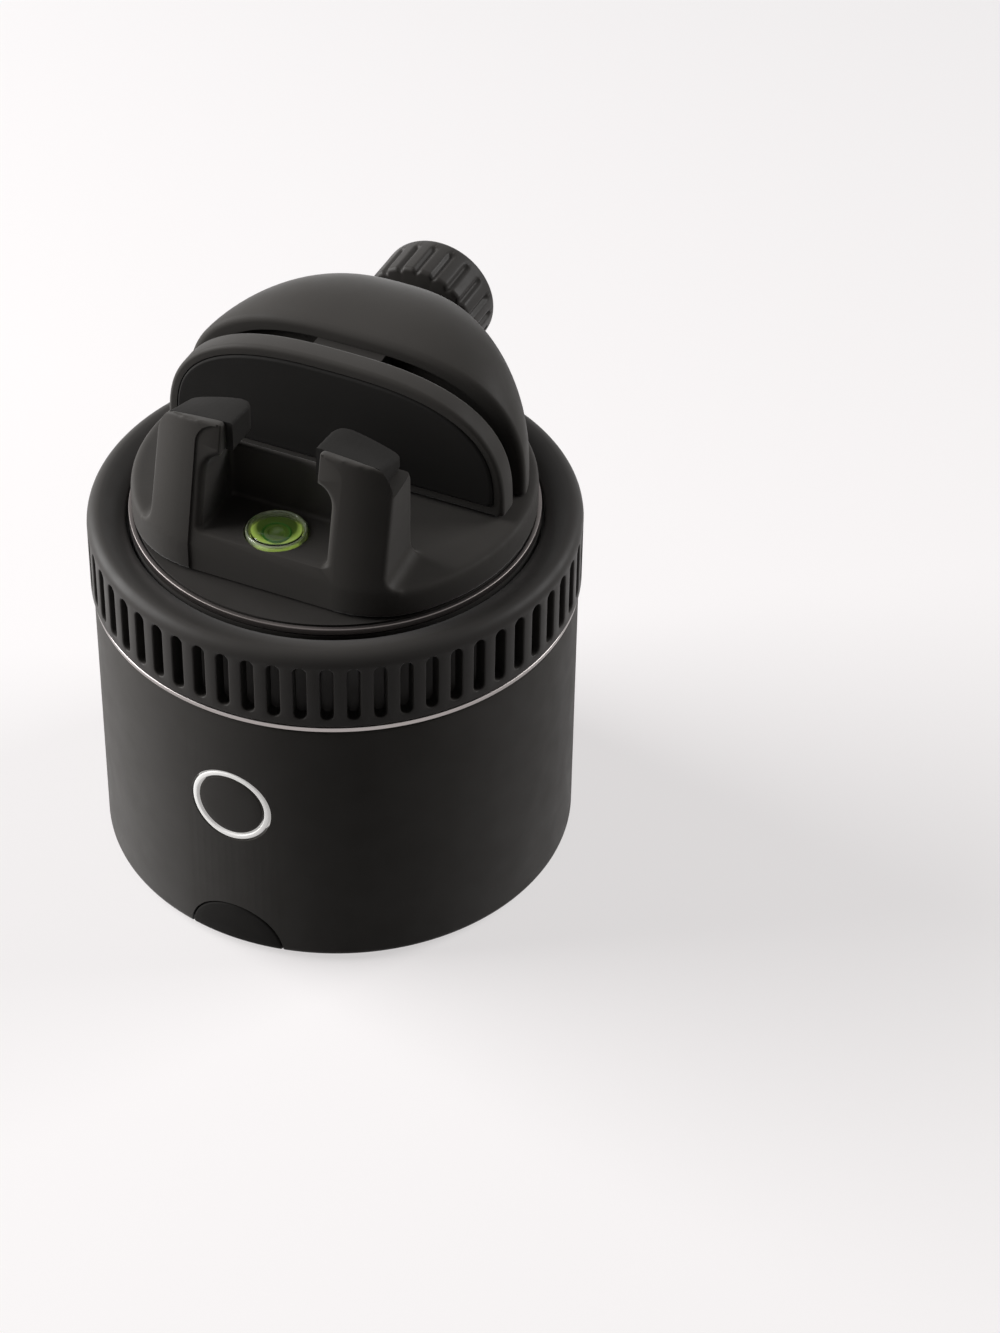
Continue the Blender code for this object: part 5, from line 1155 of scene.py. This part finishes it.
# Jaw. A D-shaped pressure plate of soft-touch plastic with a rounded rim, whose tongue slides into the
# dome and carries the brass nut. Two screws under the pad hold the tongue.
JAW_FRONT = -0.5 * MM
JAW_BACK = 3.2 * MM
JAW_HALF = 26.3 * MM
JAW_TOP = 81.2 * MM
JAW_FOOT = 62.4 * MM
JAW_SECTION = 2.7
JAW_EDGE = 0.7 * MM
JAW_RIM = 1.5 * MM
JAW_FLOOR = 0.8 * MM
JAW_BORE = 2.4 * MM
JAW_BORE_FLOOR = 1.6 * MM
PLATE_SCREWS = (67.0 * MM, 77.0 * MM)
PLATE_SCREW_HOLE = 1.2 * MM
PLATE_SCREW_HEAD = 1.8 * MM
PLATE_SCREW_DEPTH = 6.0 * MM
PLATE_HEAD_DEPTH = 2.0 * MM


def jaw_ring(y, inset, corner=0.8 * MM, steps=72):
    """The jaw's outline at a depth y, drawn in all round by an inset."""
    half, low = JAW_HALF - inset, JAW_FOOT + inset
    outline = arched(half, JAW_TOP - inset, low + corner, JAW_SECTION, steps)
    outline += arc((-half + corner, low + corner), corner, 180, 270, 5)[1:]
    outline += arc((half - corner, low + corner), corner, 270, 360, 5)[:-1]
    return [(x, y, z) for x, z in outline]


jaw_rings = [jaw_ring(JAW_FRONT + JAW_EDGE * depth, JAW_EDGE * inset) for depth, inset in QUARTER]
jaw_rings += [jaw_ring(JAW_BACK - JAW_EDGE * depth, JAW_EDGE * inset) for depth, inset in reversed(QUARTER)]
jaw = solid("clamp_plate", skin(jaw_rings))
carved(jaw, skin([jaw_ring(JAW_FRONT - 2 * PAST, JAW_RIM), jaw_ring(JAW_FLOOR, JAW_RIM)]))
carved(jaw, facing_rear(rod(JAW_BORE, 0, 4 * PAST), SCREW_HEIGHT, JAW_BORE_FLOOR))
for height in PLATE_SCREWS:
    carved(jaw, facing_rear(rod(PLATE_SCREW_HOLE, 0, PLATE_SCREW_DEPTH, 24), height, JAW_FRONT))
    carved(jaw, facing_rear(rod(PLATE_SCREW_HEAD, 0, PLATE_HEAD_DEPTH, 32), height, JAW_FRONT + GAP))
finished(jaw, soft_black, 40)
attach(jaw, "jaw")
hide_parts("pressure_plate")
painted(satin_black, "plate_carriage")
painted(brass, "lead_nut")
painted(steel, "plate_screw_1", "plate_screw_2")

# Jaw pad. A sheet of soft rubber glued in the plate's recess, standing a hair proud of the rim.
PAD_FRONT = -0.8 * MM
PAD_SHEET_BACK = 0.5 * MM
PAD_SHEET_EDGE = 0.4 * MM
PAD_PLAY = 0.2 * MM
pad_inset = JAW_RIM + PAD_PLAY
sheet_rings = [
    jaw_ring(PAD_FRONT + PAD_SHEET_EDGE * depth, pad_inset + PAD_SHEET_EDGE * inset)
    for depth, inset in QUARTER
]
sheet_rings.append(jaw_ring(PAD_SHEET_BACK, pad_inset))
jaw_pad = finished(solid("clamp_pad", skin(sheet_rings)), rubber, 50)
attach(jaw_pad, "jaw")
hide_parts("plate_pad")

# Clamp screw. A steel screw with a rolled thread of 2 mm lead, turned by the knob. It runs in a brass bush
# in the dome's end, a clip keeps it there, and it draws the nut.
SCREW_RADIUS = 2.0 * MM
SCREW_FRONT = 4.0 * MM
SCREW_BACK = 33.3 * MM
SCREW_LEAD = 2.0 * MM
THREAD_CUT = 0.35 * MM
THREAD_CREST = 0.15 * MM
THREAD_START = 4.4 * MM
THREAD_END = 21.0 * MM
SHANK_START = 21.6 * MM
SCREW_POINT = 1.5 * MM
screw_rings = [(0, SCREW_FRONT), (SCREW_POINT, SCREW_FRONT)]
for ridge in range(int((THREAD_END - SCREW_FRONT) / SCREW_LEAD * 2)):
    start = THREAD_START + ridge * SCREW_LEAD / 2
    crest = start + THREAD_CUT + THREAD_CREST
    screw_rings += [(SCREW_RADIUS - THREAD_CUT, start), (SCREW_RADIUS, start + THREAD_CUT)]
    screw_rings += [(SCREW_RADIUS, crest), (SCREW_RADIUS - THREAD_CUT, crest + THREAD_CUT)]
screw_rings += [(SCREW_RADIUS, SHANK_START), (SCREW_RADIUS, SCREW_BACK), (0, SCREW_BACK)]
clamp_screw = finished(solid("clamp_screw", facing_rear(spun(screw_rings, 40), SCREW_HEIGHT)), steel)
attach(clamp_screw, "knob")
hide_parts("lead_screw")
painted(brass, "screw_bush")
painted(steel, "screw_clip")

# Knob. A satin black moulding pressed on the clamp screw, with twenty broad ribs for the fingers, which run
# out into a smooth rounded rim at the back.
KNOB_FRONT = 27.0 * MM
KNOB_BACK = 35.3 * MM
KNOB_RADIUS = 8.8 * MM
KNOB_RIBS = 20
KNOB_GROOVE = 0.5 * MM
KNOB_EDGE = 0.7 * MM
KNOB_RIM = 1.0 * MM
KNOB_RUN_OUT = 0.9 * MM
KNOB_BORE = 2.3 * MM
KNOB_BORE_DEPTH = 7.6 * MM
FACE_DEPTH = 0.4 * MM
DISH_INNER = 6.2 * MM
DISH_OUTER = 6.6 * MM


def knob_ring(level, inset, groove):
    """The knob's rim at a level: broad ribs with round-bottomed grooves between them."""
    ring = []
    for step in range(KNOB_RIBS * 12):
        turn = math.tau * step / (KNOB_RIBS * 12)
        sunk = max(math.cos(KNOB_RIBS * turn) - 0.45, 0) / 0.55
        radius = KNOB_RADIUS - inset - groove * sunk**0.6
        ring.append((radius * math.cos(turn), radius * math.sin(turn), level))
    return ring


knob_length = KNOB_BACK - KNOB_FRONT
rib_end = knob_length - KNOB_EDGE - KNOB_RIM
knob_rings = [knob_ring(KNOB_EDGE * depth, KNOB_EDGE * inset, KNOB_GROOVE) for depth, inset in QUARTER]
for share in (0, 0.25, 0.5, 0.75, 1):
    knob_rings.append(knob_ring(rib_end - KNOB_RUN_OUT * (1 - share), 0, KNOB_GROOVE * (1 - share**2)))
knob_rings += [
    knob_ring(knob_length - KNOB_EDGE * depth, KNOB_EDGE * inset, 0) for depth, inset in reversed(QUARTER)
]
knob = solid("clamp_knob", facing_rear(skin(knob_rings), SCREW_HEIGHT, KNOB_FRONT))
carved(knob, facing_rear(rod(KNOB_BORE, 0, KNOB_BORE_DEPTH), SCREW_HEIGHT, KNOB_FRONT - PAST))
face_dish = spun([(0, 0), (DISH_INNER, 0), (DISH_OUTER, FACE_DEPTH), (DISH_OUTER, PAST), (0, PAST)], 96)
bmesh.ops.scale(face_dish, verts=face_dish.verts, vec=(1, 1, -1))
carved(knob, facing_rear(face_dish, SCREW_HEIGHT, KNOB_BACK + PAST - FACE_DEPTH))
finished(knob, satin_black, 40)
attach(knob, "knob")
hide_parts("knob")

# The studio. A white table lit by one large soft box low at the left, with a weak one far at the right. The
# table and the world are white to the camera, in reflections and through clear plastic, and dim otherwise.
TABLE_RADIUS = 4.0
TABLE_GLOW = 0.63
TABLE_LIT = 0.42
TABLE_BOUNCE = 0.06
TABLE_NEAR = (0.93, 0.905, 0.905, 1)
TABLE_FAR_SHADED = (0.72, 0.71, 0.715, 1)
WORLD_WHITE = (0.93, 0.92, 0.92, 1)
WORLD_DIM = 0.02
LEFT_LEVEL = 2.0
RIGHT_LEVEL = 0.6
BOX_AIM = Vector((0, 0, 45 * MM))
floor_mesh = bmesh.new()
bmesh.ops.create_circle(floor_mesh, cap_ends=True, segments=96, radius=TABLE_RADIUS)
floor = solid("floor", floor_mesh)


def seen(tree):
    """One where the camera, a reflection or a view through clear plastic looks, and nought elsewhere."""
    path = tree.nodes.new("ShaderNodeLightPath").outputs
    either = new_node(tree, "Math", {0: path["Is Camera Ray"], 1: path["Is Glossy Ray"]}, "MAXIMUM")
    any_of = new_node(tree, "Math", {0: either.outputs[0], 1: path["Is Transmission Ray"]}, "MAXIMUM")
    return any_of.outputs[0]


floor_finish, table, plain_shader = material("white_table")
table.nodes.remove(plain_shader)
table_reach = new_node(table, "SeparateXYZ", {0: position(table)})
# The table's white is painted greyer towards the back, a painted shade where less light reaches the far
# table.
table_shaded_tone = mixed(table, ranged(table, table_reach.outputs["Y"], 0, 1, 0.08, 0.6), TABLE_NEAR, TABLE_FAR_SHADED)
table_glow = new_node(table, "Emission", {"Strength": TABLE_GLOW, "Color": table_shaded_tone})
table_lit = new_node(table, "BsdfDiffuse", {"Color": mixed(table, TABLE_LIT, (0, 0, 0, 1), table_shaded_tone)})
table_white = new_node(table, "AddShader", {0: table_glow.outputs[0], 1: table_lit.outputs[0]})
table_dim = new_node(table, "BsdfDiffuse", {"Color": (TABLE_BOUNCE, TABLE_BOUNCE, TABLE_BOUNCE, 1)})
table_mix = new_node(table, "MixShader", {0: seen(table), 1: table_dim.outputs[0], 2: table_white.outputs[0]})
fed(table.nodes["Material Output"], {"Surface": table_mix.outputs[0]})
finished(floor, floor_finish)
world = bpy.data.worlds.new("studio")
world.use_nodes = True
fed(world.node_tree.nodes["Background"], {
    "Color": WORLD_WHITE,
    "Strength": ranged(world.node_tree, seen(world.node_tree), WORLD_DIM, 1),
})
bpy.context.scene.world = world


def outward(azimuth, elevation):
    """The direction towards something seen from the front at an azimuth of 0, and raised by an elevation."""
    turn, rise = math.radians(azimuth), math.radians(elevation)
    return Vector((math.sin(turn) * math.cos(rise), -math.cos(turn) * math.cos(rise), math.sin(rise)))


def soft_box(name, azimuth, elevation, distance, size, level):
    """A soft box aimed at the object. At a level of 1, a white face turned to it renders white."""
    lamp = bpy.data.lights.new(name, "AREA")
    lamp.shape = "RECTANGLE"
    lamp.size, lamp.size_y = size, size
    lamp.energy = level * (math.pi * distance) ** 2
    holder = bpy.data.objects.new(name, lamp)
    bpy.context.scene.collection.objects.link(holder)
    holder.location = BOX_AIM + distance * outward(azimuth, elevation)
    holder.rotation_euler = (BOX_AIM - holder.location).to_track_quat("-Z", "Y").to_euler()


soft_box("left_box", -80, 23, 1.0, 0.8, LEFT_LEVEL)
soft_box("right_box", 132, 28, 1.4, 0.7, RIGHT_LEVEL)

# Camera, at the photograph's viewing angle
AZIMUTH = 23.5
ELEVATION = 39.90
DISTANCE = 549.46 * MM
ROLL = 1.048
AIM = (21.865 * MM, 9.507 * MM, 26.672 * MM)
FOCAL_SHARE = 3722.7 / 1333
SENSOR = 36
toward = -outward(AZIMUTH, ELEVATION)
lens = bpy.data.cameras.new("camera")
lens.sensor_width = SENSOR
lens.lens = SENSOR * FOCAL_SHARE
lens.clip_start, lens.clip_end = 0.01, 20
camera = bpy.data.objects.new("camera", lens)
bpy.context.scene.collection.objects.link(camera)
camera.location = Vector(AIM) - toward * DISTANCE
turn = toward.to_track_quat("-Z", "Y").to_matrix() @ Matrix.Rotation(math.radians(ROLL), 3, "Z")
camera.rotation_euler = turn.to_euler()
bpy.context.scene.camera = camera
bpy.context.scene.view_settings.view_transform = "Standard"
